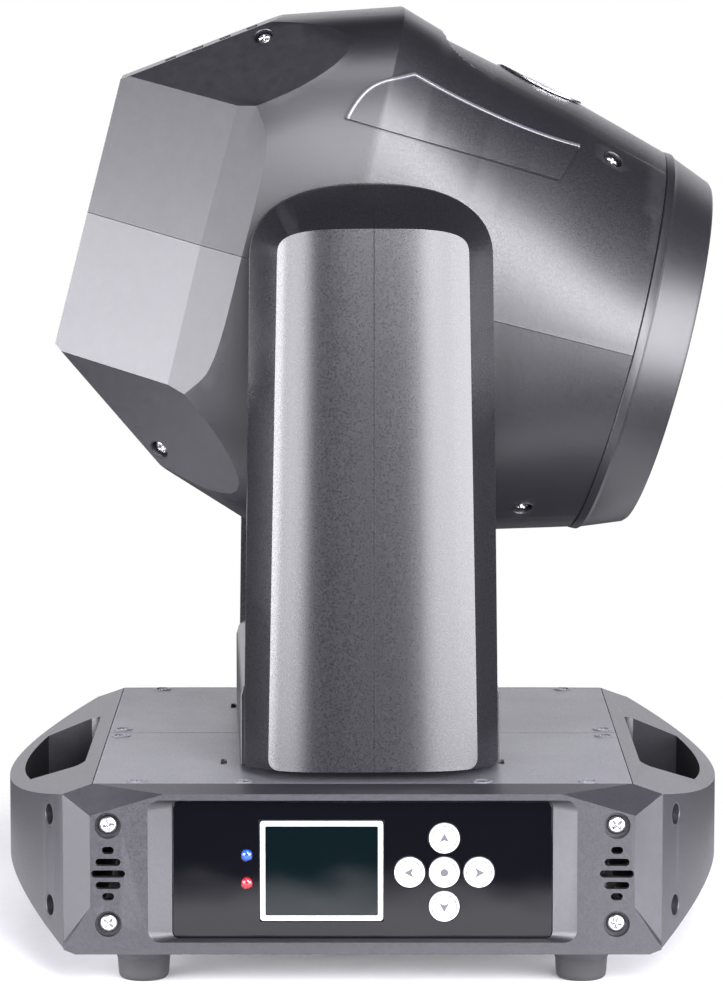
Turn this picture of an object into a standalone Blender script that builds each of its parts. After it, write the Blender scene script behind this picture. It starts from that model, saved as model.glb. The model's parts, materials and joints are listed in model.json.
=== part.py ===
"""Moving head stage light: a base with a display, a panning yoke and a tilting lamp head.

Sizes are in millimetres and become metres where a mesh is made. +Z is up, the display faces -Y, and
the origin is under the middle of the base, at the height of its feet. At rest the yoke is panned by
a few degrees and the head points along +X, a little downwards.
"""
import math

import bmesh
import bpy
from mathutils import Matrix, Vector

MM = 0.001
GAP = 0.3
CUTTER_OVERLAP = 1.0

# Base
BASE_BOTTOM = 20.0
DECK_TOP = 104.0
DECK_THICKNESS = 2.5
DECK_HALF_X = 135.0
SIDE_SEAM_X = 150.0
HANDLE_REACH = 187.0
BEZEL_BACK_Y = 148.0
BEZEL_FRONT_Y = 164.0
PANEL_FACE_Y = 156.0
PANEL_THICKNESS = 2.5
FOOT_X = 111.0
FOOT_Y = 122.0
FOOT_RADIUS = 14.25
HANDLE_WALL = 3.0
TOP_SLOPE = 0.355
KNEE_Z = 46.0

# Front controls
LCD_CENTRE = (-20.4, 61.3)
LCD_SIZE = (61.3, 50.6)
LED_X = -57.7
LED_Z = {"signal_led": 69.4, "fault_led": 55.2}
LED_RADIUS = 2.7
BUTTON_CENTRE = (40.8, 60.7)
BUTTON_PITCH = 17.3
BUTTON_RADIUS = 7.75
BUTTON_PROUD = 2.0
BUTTON_LAYOUT = {
    "up_button": (0, 1),
    "down_button": (0, -1),
    "left_button": (-1, 0),
    "right_button": (1, 0),
    "enter_button": (0, 0),
}
VENT_X = 126.5
VENTS = ((73.3, 6.0), (67.3, 12.5), (61.4, 17.0), (55.6, 12.5), (49.9, 6.0))
VENT_HEIGHT = 3.7
BEZEL_SCREW_Z = (85.7, 36.0)
BEZEL_SCREW_RECESS = 6.0

# Pan drive
PAN_REST_DEG = 2.2
SPINDLE_RADIUS = 20.0
PAN_PULLEY_RADIUS = 40.0
DRIVE_PULLEY_RADIUS = 9.0
PAN_DRIVE_Y = 75.0

# Yoke
ARM_INNER_Y = 106.0
ARM_SEAM_Y = 109.0
ARM_BEVEL_Y = 118.0
ARM_PANEL_Y = 138.0
ARM_CROWN = 9.0
ARM_BOTTOM = 106.0
ARM_TOP = 401.5
FRAME_PLATE_Y = 110.0
FRAME_STEEL = 3.0
FRAME_HALF_X = 38.0
FRAME_FLOOR = 122.0
YOKE_BOX_TOP = 151.7

# Tilt drive
TILT_Z = 347.6
TILT_REST_DEG = 14.3
TRUNNION_RADIUS = 20.5
TILT_PULLEY_RADIUS = 36.0
TILT_DRIVE_DROP = 132.6

# Head: u runs forward, w sideways and v up from the tilt axis
SHELL_WALL = 3.0
HEAD_REAR = -147.7
HEAD_SEAM = 136.9
HEAD_RIM = 165.3
REAR_HALF_W = 46.5
REAR_HALF_V = 70.0
FACET_EDGE = (-88.0, 86.5)
FACET_FRONT = (-65.0, 96.5)
SLOPE_TOP = (-73.3, 122.5)
STRIP_ANGLE = 26.0
PARTING_GAP = 0.4
BLADE_GAP = 1.3
BADGE_GAP = 0.9
# u, height above the axis, depth of the top strip, half width, superellipse exponent
HEAD_STATIONS = (
    (-152.0, 96.5, 0.0, 98.0, 3.3),
    (-73.3, 122.5, 0.0, 98.0, 3.3),
    (-15.0, 141.7, 0.0, 98.0, 3.3),
    (6.0, 135.4, 0.0, 98.0, 3.2),
    (12.6, 133.4, 2.8, 98.2, 3.1),
    (38.5, 127.6, 2.6, 98.8, 2.8),
    (63.0, 122.5, 2.2, 99.8, 2.5),
    (87.7, 117.3, 1.7, 100.8, 2.3),
    (112.0, 110.2, 1.2, 101.6, 2.1),
    (HEAD_SEAM, 102.6, 0.6, 102.0, 2.0),
)

AXES = {
    "Z": Matrix.Identity(4),
    "Y": Matrix.Rotation(math.radians(-90), 4, "X"),
    "X": Matrix.Rotation(math.radians(90), 4, "Y"),
}


# ---------------------------------------------------------------- scene and materials

def empty_scene():
    """Remove whatever the file opened with."""
    for old in list(bpy.data.objects):
        bpy.data.objects.remove(old, do_unlink=True)


def collection(name):
    """Make a collection under the scene."""
    made = bpy.data.collections.new(name)
    bpy.context.scene.collection.children.link(made)
    return made


def material(name, colour, roughness, metallic=0.0):
    """A Principled material of one colour."""
    made = bpy.data.materials.new(name)
    made.use_nodes = True
    shader = made.node_tree.nodes["Principled BSDF"]
    shader.inputs["Base Color"].default_value = (*colour, 1.0)
    shader.inputs["Roughness"].default_value = roughness
    shader.inputs["Metallic"].default_value = metallic
    made.diffuse_color = (*colour, 1.0)
    return made


empty_scene()
PARTS = collection("moving_head_light")
CUTTERS = collection("cutters")
FINISHES = {
    "casing": ((0.085, 0.083, 0.095), 0.42, 0.0),
    "deck": ((0.12, 0.12, 0.13), 0.5, 0.0),
    "trim": ((0.05, 0.05, 0.055), 0.35, 0.0),
    "rubber": ((0.03, 0.03, 0.03), 0.85, 0.0),
    "steel": ((0.45, 0.45, 0.46), 0.4, 1.0),
    "bearing": ((0.7, 0.7, 0.72), 0.25, 1.0),
    "aluminium": ((0.72, 0.73, 0.75), 0.35, 1.0),
    "panel": ((0.01, 0.01, 0.012), 0.08, 0.0),
    "screen": ((0.8, 0.8, 0.8), 0.3, 0.0),
    "button": ((0.8, 0.8, 0.82), 0.35, 0.0),
    "blue": ((0.05, 0.15, 0.7), 0.15, 0.0),
    "red": ((0.75, 0.04, 0.04), 0.15, 0.0),
    "board": ((0.02, 0.15, 0.06), 0.45, 0.0),
    "black": ((0.015, 0.015, 0.015), 0.4, 0.0),
    "glass": ((0.75, 0.8, 0.85), 0.05, 0.0),
    "badge": ((0.8, 0.8, 0.82), 0.25, 0.8),
}


# ---------------------------------------------------------------- outlines

def arc(centre, radius, start, end, steps):
    """Points on an arc, both ends included; angles in degrees."""
    points = []
    for step in range(steps + 1):
        angle = math.radians(start + (end - start) * step / steps)
        points.append((centre[0] + radius * math.cos(angle), centre[1] + radius * math.sin(angle)))
    return points


def rectangle(x0, x1, y0, y1):
    """Four corners, counter-clockwise."""
    return [(x0, y0), (x1, y0), (x1, y1), (x0, y1)]


def rounded_rectangle(x0, x1, y0, y1, radius, steps=2):
    """A rectangle with round corners, counter-clockwise."""
    corners = ((x1 - radius, y1 - radius, 0), (x0 + radius, y1 - radius, 90),
               (x0 + radius, y0 + radius, 180), (x1 - radius, y0 + radius, 270))
    points = []
    for x, y, start in corners:
        points += arc((x, y), radius, start, start + 90, steps)
    return points


def slot_outline(x, y, length, height, steps=2):
    """A slot with round ends, long in its first direction."""
    radius = height / 2
    reach = length / 2 - radius
    return (arc((x + reach, y), radius, -90, 90, steps)
            + arc((x - reach, y), radius, 90, 270, steps))


def belt_outline(drop, big, small, steps=8):
    """The outline of a belt round a big pulley at the origin and a small one at -drop."""
    lean = math.degrees(math.asin((big - small) / drop))
    upper = arc((0.0, 0.0), big, -lean, 180 + lean, steps * 2)
    lower = arc((0.0, -drop), small, 180 + lean, 360 - lean, steps)
    return upper + lower


# ---------------------------------------------------------------- meshes and objects

def place(obj, parent=None, matrix=None):
    """Link an object to its collection, under its parent."""
    PARTS.objects.link(obj)
    obj.parent = parent
    if matrix is not None:
        obj.matrix_local = matrix
    return obj


def finish(name, bm, finish_name, parent=None, normals=True):
    """Turn a bmesh drawn in millimetres into a named object in metres."""
    if normals:
        bmesh.ops.recalc_face_normals(bm, faces=bm.faces[:])
    bmesh.ops.scale(bm, vec=(MM, MM, MM), verts=bm.verts[:])
    mesh = bpy.data.meshes.new(name)
    bm.to_mesh(mesh)
    bm.free()
    colour, roughness, metallic = FINISHES[finish_name]
    mesh.materials.append(material(name, colour, roughness, metallic))
    return place(bpy.data.objects.new(name, mesh), parent)


def as_cutter(obj):
    """Move an object to the cutters' collection and hide it from renders."""
    PARTS.objects.unlink(obj)
    CUTTERS.objects.link(obj)
    obj.hide_render = True
    obj.display_type = "WIRE"
    return obj


def boolean(obj, cutter, operation="DIFFERENCE"):
    """Add a Boolean modifier."""
    modifier = obj.modifiers.new(cutter.name, "BOOLEAN")
    modifier.operation = operation
    modifier.solver = "EXACT"
    modifier.object = cutter
    return obj


def add_box(bm, low, high):
    """Add a box given by two corners."""
    size = Vector(high) - Vector(low)
    centre = (Vector(high) + Vector(low)) / 2
    bmesh.ops.create_cube(bm, size=1.0, matrix=Matrix.LocRotScale(centre, None, size))


def add_cylinder(bm, radius, start, end, axis="Z", at=(0, 0), segments=24, end_radius=None):
    """Add a capped cylinder or cone between two stations on an axis, offset sideways by at."""
    offset = {"Z": (at[0], at[1], 0), "Y": (at[0], 0, at[1]), "X": (0, at[0], at[1])}[axis]
    move = Matrix.Translation(offset) @ AXES[axis] @ Matrix.Translation((0, 0, (start + end) / 2))
    top = radius if end_radius is None else end_radius
    bmesh.ops.create_cone(bm, cap_ends=True, segments=segments, radius1=radius, radius2=top,
                          depth=abs(end - start), matrix=move)


def add_prism(bm, outline, start, end, axis="Z"):
    """Extrude a flat outline along an axis."""
    spread = {
        "Z": lambda p: (p[0], p[1], start),
        "Y": lambda p: (p[0], start, p[1]),
        "X": lambda p: (start, p[0], p[1]),
    }[axis]
    shift = {"Z": (0, 0, 1), "Y": (0, 1, 0), "X": (1, 0, 0)}[axis]
    face = bm.faces.new([bm.verts.new(spread(point)) for point in outline])
    top = bmesh.ops.extrude_face_region(bm, geom=[face])
    moved = [item for item in top["geom"] if isinstance(item, bmesh.types.BMVert)]
    bmesh.ops.translate(bm, verts=moved, vec=Vector(shift) * (end - start))


def add_loft(bm, rings, caps=(True, True)):
    """Skin a row of closed rings with the same number of points, and return the ring vertices."""
    rows = [[bm.verts.new(point) for point in ring] for ring in rings]
    for low, high in zip(rows, rows[1:]):
        for i in range(len(low)):
            j = (i + 1) % len(low)
            bm.faces.new((low[i], low[j], high[j], high[i]))
    if caps[0]:
        bm.faces.new(rows[0])
    if caps[1]:
        bm.faces.new(rows[-1])
    return rows


def slice_off(bm, point, normal, fill=True):
    """Cut away everything on the normal's side of a plane, and close the cut."""
    cut = bmesh.ops.bisect_plane(bm, geom=bm.verts[:] + bm.edges[:] + bm.faces[:], dist=1e-5,
                                 plane_co=Vector(point), plane_no=Vector(normal).normalized(),
                                 clear_outer=True)
    edges = [item for item in cut["geom_cut"] if isinstance(item, bmesh.types.BMEdge)]
    if fill and edges:
        bmesh.ops.edgeloop_fill(bm, edges=edges)


def box(name, low, high, finish_name, parent=None, bevel=0.0):
    """A box with an optional bevel."""
    bm = bmesh.new()
    add_box(bm, low, high)
    obj = finish(name, bm, finish_name, parent)
    if bevel:
        add_bevel(obj, bevel)
    return obj


def add_bevel(obj, width, segments=2):
    """Round the edges of an object."""
    modifier = obj.modifiers.new("rounded_edges", "BEVEL")
    modifier.width = width * MM
    modifier.segments = segments
    modifier.limit_method = "ANGLE"
    modifier.angle_limit = math.radians(40)


def turned(name, profile, finish_name, parent=None, axis="Z", at=(0, 0, 0), segments=32):
    """A solid of revolution. The profile holds (radius, height) points, outer side downwards."""
    closed_loop = profile[0][0] > 0
    mesh = bpy.data.meshes.new(name)
    points = [(radius * MM, 0, height * MM) for radius, height in profile]
    edges = [(i, i + 1) for i in range(len(points) - 1)]
    if closed_loop:
        edges.append((len(points) - 1, 0))
    mesh.from_pydata(points, edges, [])
    colour, roughness, metallic = FINISHES[finish_name]
    mesh.materials.append(material(name, colour, roughness, metallic))
    obj = place(bpy.data.objects.new(name, mesh), parent,
                Matrix.Translation(Vector(at) * MM) @ AXES[axis])
    screw = obj.modifiers.new("turning", "SCREW")
    screw.axis = "Z"
    screw.angle = math.radians(360)
    screw.steps = segments
    screw.render_steps = segments
    screw.use_merge_vertices = True
    screw.merge_threshold = 1e-5
    return obj


def axis_empty(name, location, rotation, parent=None):
    """An empty that marks a joint's axis."""
    made = bpy.data.objects.new(name, None)
    made.location = Vector(location) * MM
    made.rotation_euler = [math.radians(angle) for angle in rotation]
    made.parent = parent
    PARTS.objects.link(made)
    return made


# ---------------------------------------------------------------- base

def handle_x(y, inset=0.0):
    """Outer edge of a handle casing in plan: an arc through the seam corners and the reach."""
    rise = HANDLE_REACH - SIDE_SEAM_X
    radius = (BEZEL_BACK_Y ** 2 + rise ** 2) / (2 * rise)
    return HANDLE_REACH - radius + math.sqrt((radius - inset) ** 2 - y ** 2)


def handle_body(name, side, wall, finish_name):
    """The outer form of a handle casing, or with a wall the space inside it."""
    steps = 12
    end_y = BEZEL_BACK_Y - GAP - wall
    inner_x = DECK_HALF_X + GAP if wall == 0 else DECK_HALF_X - 4
    curve = []
    for step in range(steps + 1):
        y = -end_y + 2 * end_y * step / steps
        curve.append((side * handle_x(y, wall), y))
    outline = [(side * inner_x, -end_y)] + curve + [(side * inner_x, end_y)]
    bm = bmesh.new()
    add_prism(bm, outline, BASE_BOTTOM + wall, DECK_TOP + 10)
    top_point = (side * DECK_HALF_X, 0, DECK_TOP - wall * 1.06)
    slice_off(bm, top_point, (side * TOP_SLOPE, 0, 1))
    knee_run = HANDLE_REACH - SIDE_SEAM_X
    knee_rise = KNEE_Z - BASE_BOTTOM
    slice_off(bm, (side * (HANDLE_REACH - wall), 0, KNEE_Z + wall * 0.6),
              (side * knee_rise, 0, -knee_run))
    return finish(name, bm, finish_name)


def hand_pocket(name, side, grow, floor):
    """The hand hole: straight inside, following the outline outside, with slanted ends."""
    inner_x = 143.0 - grow
    outer_inset = 8.0 - grow
    near_y = 65.0 + grow
    steps = 6
    outline = [(side * inner_x, 78.0 + grow), (side * inner_x, -78.0 - grow)]
    for step in range(steps + 1):
        y = -near_y + 2 * near_y * step / steps
        outline.append((side * handle_x(y, outer_inset), y))
    bm = bmesh.new()
    add_prism(bm, outline, floor, DECK_TOP + 20)
    return as_cutter(finish(name, bm, "trim"))


def handle_casing(name, side):
    """A moulded side casing with a carrying recess; hollow, open towards the chassis."""
    casing = handle_body(name, side, 0.0, "casing")
    cavity = as_cutter(handle_body(name + "_cavity", side, HANDLE_WALL, "trim"))
    pocket_floor = 40.0
    boolean(cavity, hand_pocket(name + "_pocket_wall", side, HANDLE_WALL, pocket_floor - 3))
    boolean(casing, cavity)
    boolean(casing, hand_pocket(name + "_pocket", side, 0.0, pocket_floor))
    for index, end in enumerate((-1, 1)):
        for level, z in enumerate((85.6, 39.0)):
            bm = bmesh.new()
            add_cylinder(bm, 6.5, -4.0, 3.0, axis="X", segments=12)
            hole = as_cutter(finish(f"{name}_screw_{index}{level}", bm, "trim"))
            y = end * 132.0
            x = handle_x(y, 0.0)
            hole.location = Vector((side * x, y, z - 3)) * MM
            outward = math.atan2(handle_x(y - 1, 0.0) - handle_x(y + 1, 0.0), 2)
            turn = outward if side > 0 else math.pi - outward
            hole.rotation_euler = (0, 0, turn)
            boolean(casing, hole)
    return casing


def bezel(name, facing):
    """A moulded end piece with a sloped window, side vents and screw recesses."""
    front_half = [(99.0, 101.6), (135.5, 90.7), (135.5, 44.7), (149.0, 23.0), (143.0, 20.6)]
    back_half = [(134.5, 104.0), (150.0, 98.7), (150.0, 23.5), (150.0, 21.5), (144.0, 20.0)]
    rings = []
    for half, y in ((front_half, BEZEL_FRONT_Y), (back_half, BEZEL_BACK_Y)):
        loop = half + [(-x, z) for x, z in reversed(half)]
        rings.append([(x, facing * y, z) for x, z in loop])
    bm = bmesh.new()
    add_loft(bm, rings)
    bmesh.ops.triangulate(bm, faces=[face for face in bm.faces if len(face.verts) == 4])
    obj = finish(name, bm, "casing")

    bm = bmesh.new()
    inner = rounded_rectangle(-95.0, 95.0, 27.0, 96.6, 3.0)
    outer = rounded_rectangle(-106.7, 106.7, 26.6, 98.5, 5.0)
    wide = BEZEL_FRONT_Y + CUTTER_OVERLAP
    depths = (BEZEL_BACK_Y - CUTTER_OVERLAP, PANEL_FACE_Y, wide)
    add_loft(bm, [[(x, facing * depth, z) for x, z in ring]
                  for ring, depth in zip((inner, inner, outer), depths)])
    boolean(obj, as_cutter(finish(name + "_window", bm, "trim")))

    bm = bmesh.new()
    for side in (-1, 1):
        for z, width in VENTS:
            add_prism(bm, slot_outline(side * VENT_X, z, width, VENT_HEIGHT),
                      facing * (BEZEL_FRONT_Y + CUTTER_OVERLAP), facing * 157.0, axis="Y")
        for z in BEZEL_SCREW_Z:
            add_cylinder(bm, BEZEL_SCREW_RECESS, facing * (BEZEL_FRONT_Y + CUTTER_OVERLAP),
                         facing * 160.0, axis="Y", at=(side * VENT_X, z), segments=14)
    boolean(obj, as_cutter(finish(name + "_vents", bm, "trim")))

    bm = bmesh.new()
    for side in (-1, 1):
        xs = sorted((side * 112.0, side * 137.0))
        ys = sorted((facing * (BEZEL_BACK_Y - CUTTER_OVERLAP), facing * 160.0))
        add_box(bm, (xs[0], ys[0], 46.0), (xs[1], ys[1], 77.0))
    boolean(obj, as_cutter(finish(name + "_vent_pockets", bm, "trim")))
    return obj


def deck_plate(name, facing):
    """Half of the sheet deck, with vent slots and half of the spindle hole."""
    ys = sorted((facing * GAP, facing * (BEZEL_BACK_Y - GAP)))
    plate = box(name, (-DECK_HALF_X, ys[0], DECK_TOP - DECK_THICKNESS),
                (DECK_HALF_X, ys[1], DECK_TOP), "deck")
    bm = bmesh.new()
    add_cylinder(bm, 46.0, DECK_TOP - 6, DECK_TOP + 4, segments=32)
    for side in (-1, 1):
        outline = slot_outline(facing * 86.0, side * 71.0, 16.0, 3.0)
        add_prism(bm, [(x, y) for y, x in outline], DECK_TOP - 6, DECK_TOP + 4)
    return boolean(plate, as_cutter(finish(name + "_holes", bm, "trim")))


def foot(name, x, y):
    """A tapered rubber foot."""
    profile = [(0, 20.0 - GAP), (FOOT_RADIUS, 20.0 - GAP), (12.7, 1.0), (11.7, 0), (0, 0)]
    return turned(name, profile, "rubber", at=(x, y, 0), segments=20)


def base_plate():
    """The steel bottom plate that the feet and the power supply are screwed to."""
    return box("base_plate", (-DECK_HALF_X + GAP, -BEZEL_BACK_Y + GAP, BASE_BOTTOM),
               (DECK_HALF_X - GAP, BEZEL_BACK_Y - GAP, BASE_BOTTOM + 2.5), "steel")


def chassis_bridge():
    """A folded steel bridge over the power supply that carries the pan spindle."""
    low = BASE_BOTTOM + 2.5 + GAP
    top = 95.0
    outline = [(-128, low), (-104, low), (-104, low + 3), (-125, low + 3), (-125, top - 3),
               (125, top - 3), (125, low + 3), (104, low + 3), (104, low), (128, low),
               (128, top), (-128, top)]
    bm = bmesh.new()
    add_prism(bm, outline, -52, 52, axis="Y")
    obj = finish("chassis_bridge", bm, "steel")
    bm = bmesh.new()
    add_cylinder(bm, SPINDLE_RADIUS + 0.6, 80, 110, segments=24)
    return boolean(obj, as_cutter(finish("spindle_hole", bm, "trim")))


def pan_spindle():
    """The fixed hollow spindle with its flange and its toothed pulley rim."""
    profile = [(14, 142), (SPINDLE_RADIUS, 142), (SPINDLE_RADIUS, 118.0), (PAN_PULLEY_RADIUS, 118.0),
               (PAN_PULLEY_RADIUS, 108.0), (SPINDLE_RADIUS + 3, 108.0), (SPINDLE_RADIUS + 3, 100),
               (38, 100), (38, 95 + GAP), (SPINDLE_RADIUS, 95 + GAP), (SPINDLE_RADIUS, 84), (14, 84)]
    return turned("pan_spindle", profile, "aluminium", segments=28)


def ring_bearing(name, inner, outer, low, high, parent=None, axis="Z", at=(0, 0, 0)):
    """A sealed ball bearing drawn as one ring."""
    profile = [(inner, high), (outer, high), (outer, low), (inner, low)]
    return turned(name, profile, "bearing", parent, axis, at, segments=28)


def window_panel(name, facing, finish_name):
    """The flat panel that fills a bezel's window."""
    outline = rounded_rectangle(-95 + GAP, 95 - GAP, 27 + GAP, 96.6 - GAP, 3.0)
    bm = bmesh.new()
    add_prism(bm, outline, facing * (PANEL_FACE_Y - PANEL_THICKNESS), facing * PANEL_FACE_Y, axis="Y")
    return finish(name, bm, finish_name)


def display_panel():
    """The glossy front panel with its window and its holes."""
    panel = window_panel("display_panel", -1, "panel")
    bm = bmesh.new()
    half_x = LCD_SIZE[0] / 2 + GAP
    half_z = LCD_SIZE[1] / 2 + GAP
    add_box(bm, (LCD_CENTRE[0] - half_x, -160, LCD_CENTRE[1] - half_z),
            (LCD_CENTRE[0] + half_x, -150, LCD_CENTRE[1] + half_z))
    for z in LED_Z.values():
        add_cylinder(bm, LED_RADIUS + GAP, -160, -150, axis="Y", at=(LED_X, z), segments=10)
    for column, row in BUTTON_LAYOUT.values():
        at = (BUTTON_CENTRE[0] + column * BUTTON_PITCH, BUTTON_CENTRE[1] + row * BUTTON_PITCH)
        add_cylinder(bm, BUTTON_RADIUS + GAP, -160, -150, axis="Y", at=at, segments=20)
    return boolean(panel, as_cutter(finish("display_panel_holes", bm, "trim")))


def lcd_screen():
    """The display module, a little proud of the panel."""
    half_x = LCD_SIZE[0] / 2
    half_z = LCD_SIZE[1] / 2
    return box("lcd_screen", (LCD_CENTRE[0] - half_x, -PANEL_FACE_Y - 0.5, LCD_CENTRE[1] - half_z),
               (LCD_CENTRE[0] + half_x, -151.5, LCD_CENTRE[1] + half_z), "screen")


def indicator(name, finish_name):
    """A domed indicator lamp in the panel."""
    face = PANEL_FACE_Y
    dome = [(0, face + 1.3), (1.8, face + 0.8), (LED_RADIUS, face - 0.3), (LED_RADIUS, 151.5),
            (0, 151.5)]
    obj = turned(name, dome, finish_name, at=(LED_X, 0, LED_Z[name]), segments=10)
    obj.matrix_local = Matrix.Translation(Vector((LED_X, 0, LED_Z[name])) * MM) @ Matrix.Rotation(
        math.radians(90), 4, "X")
    return obj


def push_button(name, column, row):
    """A round key: a cap, a shallow dish and a stem towards the control board."""
    x = BUTTON_CENTRE[0] + column * BUTTON_PITCH
    z = BUTTON_CENTRE[1] + row * BUTTON_PITCH
    top = PANEL_FACE_Y + BUTTON_PROUD
    profile = [(0, top - 0.4), (6.3, top - 0.4), (6.7, top), (BUTTON_RADIUS, top - 0.3),
               (BUTTON_RADIUS, 154.2), (3.0, 154.2), (3.0, 151.4), (0, 151.4)]
    obj = turned(name, profile, "button", segments=16)
    obj.matrix_local = Matrix.Translation(Vector((x, 0, z)) * MM) @ Matrix.Rotation(
        math.radians(90), 4, "X")
    return obj


def rear_panel():
    """The connector panel in the rear window."""
    panel = window_panel("rear_panel", 1, "trim")
    bm = bmesh.new()
    add_box(bm, (-74 - GAP, 150, 50 - GAP), (-46 + GAP, 160, 70 + GAP))
    for x in (10.0, 50.0):
        add_cylinder(bm, 12 + 2 * GAP, 150, 160, axis="Y", at=(x, 60.0), segments=20)
    return boolean(panel, as_cutter(finish("rear_panel_holes", bm, "trim")))


def power_inlet():
    """An appliance inlet: flange, body and the socket that the plug goes in."""
    obj = box("power_inlet", (-74, 136, 50), (-46, 157, 70), "black")
    bm = bmesh.new()
    add_box(bm, (-78, PANEL_FACE_Y + GAP, 46), (-42, PANEL_FACE_Y + 2.5, 74))
    boolean(obj, as_cutter(finish("power_inlet_flange", bm, "black")), "UNION")
    bm = bmesh.new()
    add_box(bm, (-72, 141, 52), (-48, 165, 68))
    return boolean(obj, as_cutter(finish("power_inlet_socket", bm, "black")))


def signal_socket(name, x, hollow):
    """A round three-pole signal connector on a square flange."""
    bm = bmesh.new()
    add_cylinder(bm, 12, 138, 157, axis="Y", at=(x, 60.0), segments=20)
    obj = finish(name, bm, "black")
    bm = bmesh.new()
    add_prism(bm, rounded_rectangle(x - 13, x + 13, 44.5, 75.5, 3), PANEL_FACE_Y + GAP,
              PANEL_FACE_Y + 2.5, axis="Y")
    boolean(obj, as_cutter(finish(name + "_flange", bm, "black")), "UNION")
    bm = bmesh.new()
    if hollow:
        add_cylinder(bm, 9.3, 145, 165, axis="Y", at=(x, 60.0), segments=20)
    else:
        for degrees in (90, 210, 330):
            angle = math.radians(degrees)
            at = (x + 5 * math.cos(angle), 60 + 5 * math.sin(angle))
            add_cylinder(bm, 1.6, 147, 165, axis="Y", at=at, segments=8)
    return boolean(obj, as_cutter(finish(name + "_bore", bm, "black")))


def build_base():
    """Everything that stands still."""
    base_plate()
    chassis_bridge()
    bezel("front_bezel", -1)
    bezel("rear_bezel", 1)
    handle_casing("left_handle_casing", -1)
    handle_casing("right_handle_casing", 1)
    deck_plate("front_deck_plate", -1)
    deck_plate("rear_deck_plate", 1)
    for row, y in (("front", -FOOT_Y), ("rear", FOOT_Y)):
        for side, x in (("left", -FOOT_X), ("right", FOOT_X)):
            foot(f"{row}_{side}_foot", x, y)
    display_panel()
    lcd_screen()
    indicator("signal_led", "blue")
    indicator("fault_led", "red")
    for name, (column, row) in BUTTON_LAYOUT.items():
        push_button(name, column, row)
    box("control_board", (-84, -149.8, 32), (84, -148.2, 91), "board")
    box("power_supply", (-98, -45, 24), (98, 45, 66), "steel", bevel=1.0)
    rear_panel()
    power_inlet()
    signal_socket("dmx_input", 10.0, True)
    signal_socket("dmx_output", 50.0, False)
    pan_spindle()
    ring_bearing("pan_bearing", SPINDLE_RADIUS + GAP, 31.0, 120.5, 129.5)


# ---------------------------------------------------------------- yoke

def arm_outline(half_top, half_bottom, bottom, top, shoulder, exponent, corner, columns=6, steps=5):
    """Closed outline of an arm in x and z, with a superellipse shoulder.

    It is sampled so that two outlines with other sizes have matching points: the bottom row, the
    right side, the top row and the left side.
    """
    power = 2 / exponent
    last = math.radians(78)
    side = arc((half_bottom - corner, bottom + corner), corner, -90, 0, 2)[1:]
    for step in range(steps + 1):
        angle = last * step / steps
        side.append((half_top * math.cos(angle) ** power,
                     top - shoulder + shoulder * math.sin(angle) ** power))
    flat = half_bottom - corner
    bottom_row = [(-flat + 2 * flat * i / columns, bottom) for i in range(columns + 1)]
    edge = side[-1][0]
    top_row = []
    for i in range(1, columns):
        x = edge - 2 * edge * i / columns
        z = top - shoulder + shoulder * (1 - (abs(x) / half_top) ** exponent) ** (1 / exponent)
        top_row.append((x, z))
    left = [(-x, z) for x, z in reversed(side)]
    return bottom_row + side + top_row + left


def outer_outline():
    """The arm's full outline."""
    return arm_outline(61.0, 64.4, ARM_BOTTOM, ARM_TOP, 38.0, 2.4, 5.0)


def arm_outer_cover(name, facing, parent):
    """The tub-shaped outer cover of an arm, with a crowned panel inside a bevel band."""
    columns = 6
    outer = outer_outline()
    panel = arm_outline(47.6, 52.5, ARM_BOTTOM + 3.5, 381.0, 16.0, 3.6, 5.0)

    def crown(x, z):
        half = 52.5 + (47.6 - 52.5) * (z - ARM_BOTTOM) / (381.0 - ARM_BOTTOM)
        return facing * (ARM_PANEL_Y + ARM_CROWN * (1 - min(1.0, abs(x) / half) ** 4))

    rings = [[(x, facing * ARM_SEAM_Y, z) for x, z in outer],
             [(x, facing * ARM_BEVEL_Y, z) for x, z in outer],
             [(x, crown(x, z), z) for x, z in panel]]
    bm = bmesh.new()
    edge = add_loft(bm, rings, caps=(False, False))[-1]
    count = len(edge)
    side_rows = (count - 2 * columns) // 2
    rows = [edge[:columns + 1]]
    for row in range(1, side_rows):
        right = edge[columns + row]
        left = edge[count - row]
        line = [left]
        for i in range(1, columns):
            spot = left.co.lerp(right.co, i / columns)
            line.append(bm.verts.new((spot.x, crown(spot.x, spot.z), spot.z)))
        rows.append(line + [right])
    top_start = columns + side_rows
    rows.append(list(reversed(edge[top_start:top_start + columns + 1])))
    for low, high in zip(rows, rows[1:]):
        for i in range(columns):
            bm.faces.new((low[i], low[i + 1], high[i + 1], high[i]))
    bmesh.ops.recalc_face_normals(bm, faces=bm.faces[:])
    bm.faces.ensure_lookup_table()
    if bm.faces[-1].normal.y * facing < 0:
        bmesh.ops.reverse_faces(bm, faces=bm.faces[:])
    obj = finish(name, bm, "casing", parent, normals=False)
    wall = obj.modifiers.new("wall", "SOLIDIFY")
    wall.thickness = 2.5 * MM
    wall.offset = -1
    wall.use_even_offset = True
    return obj


def arm_inner_cover(name, facing, parent):
    """The flat inner cover, with a hole for the trunnion and a notch for the frame."""
    bm = bmesh.new()
    add_prism(bm, outer_outline(), facing * ARM_INNER_Y, facing * (ARM_SEAM_Y - GAP), axis="Y")
    obj = finish(name, bm, "casing", parent)
    bm = bmesh.new()
    add_cylinder(bm, 24.0, facing * 100, facing * 115, axis="Y", at=(0, TILT_Z), segments=20)
    ys = sorted((facing * 100, facing * 115))
    add_box(bm, (-42, ys[0], 90), (42, ys[1], 132))
    holes = as_cutter(finish(name + "_holes", bm, "trim", parent))
    return boolean(obj, holes)


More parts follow.
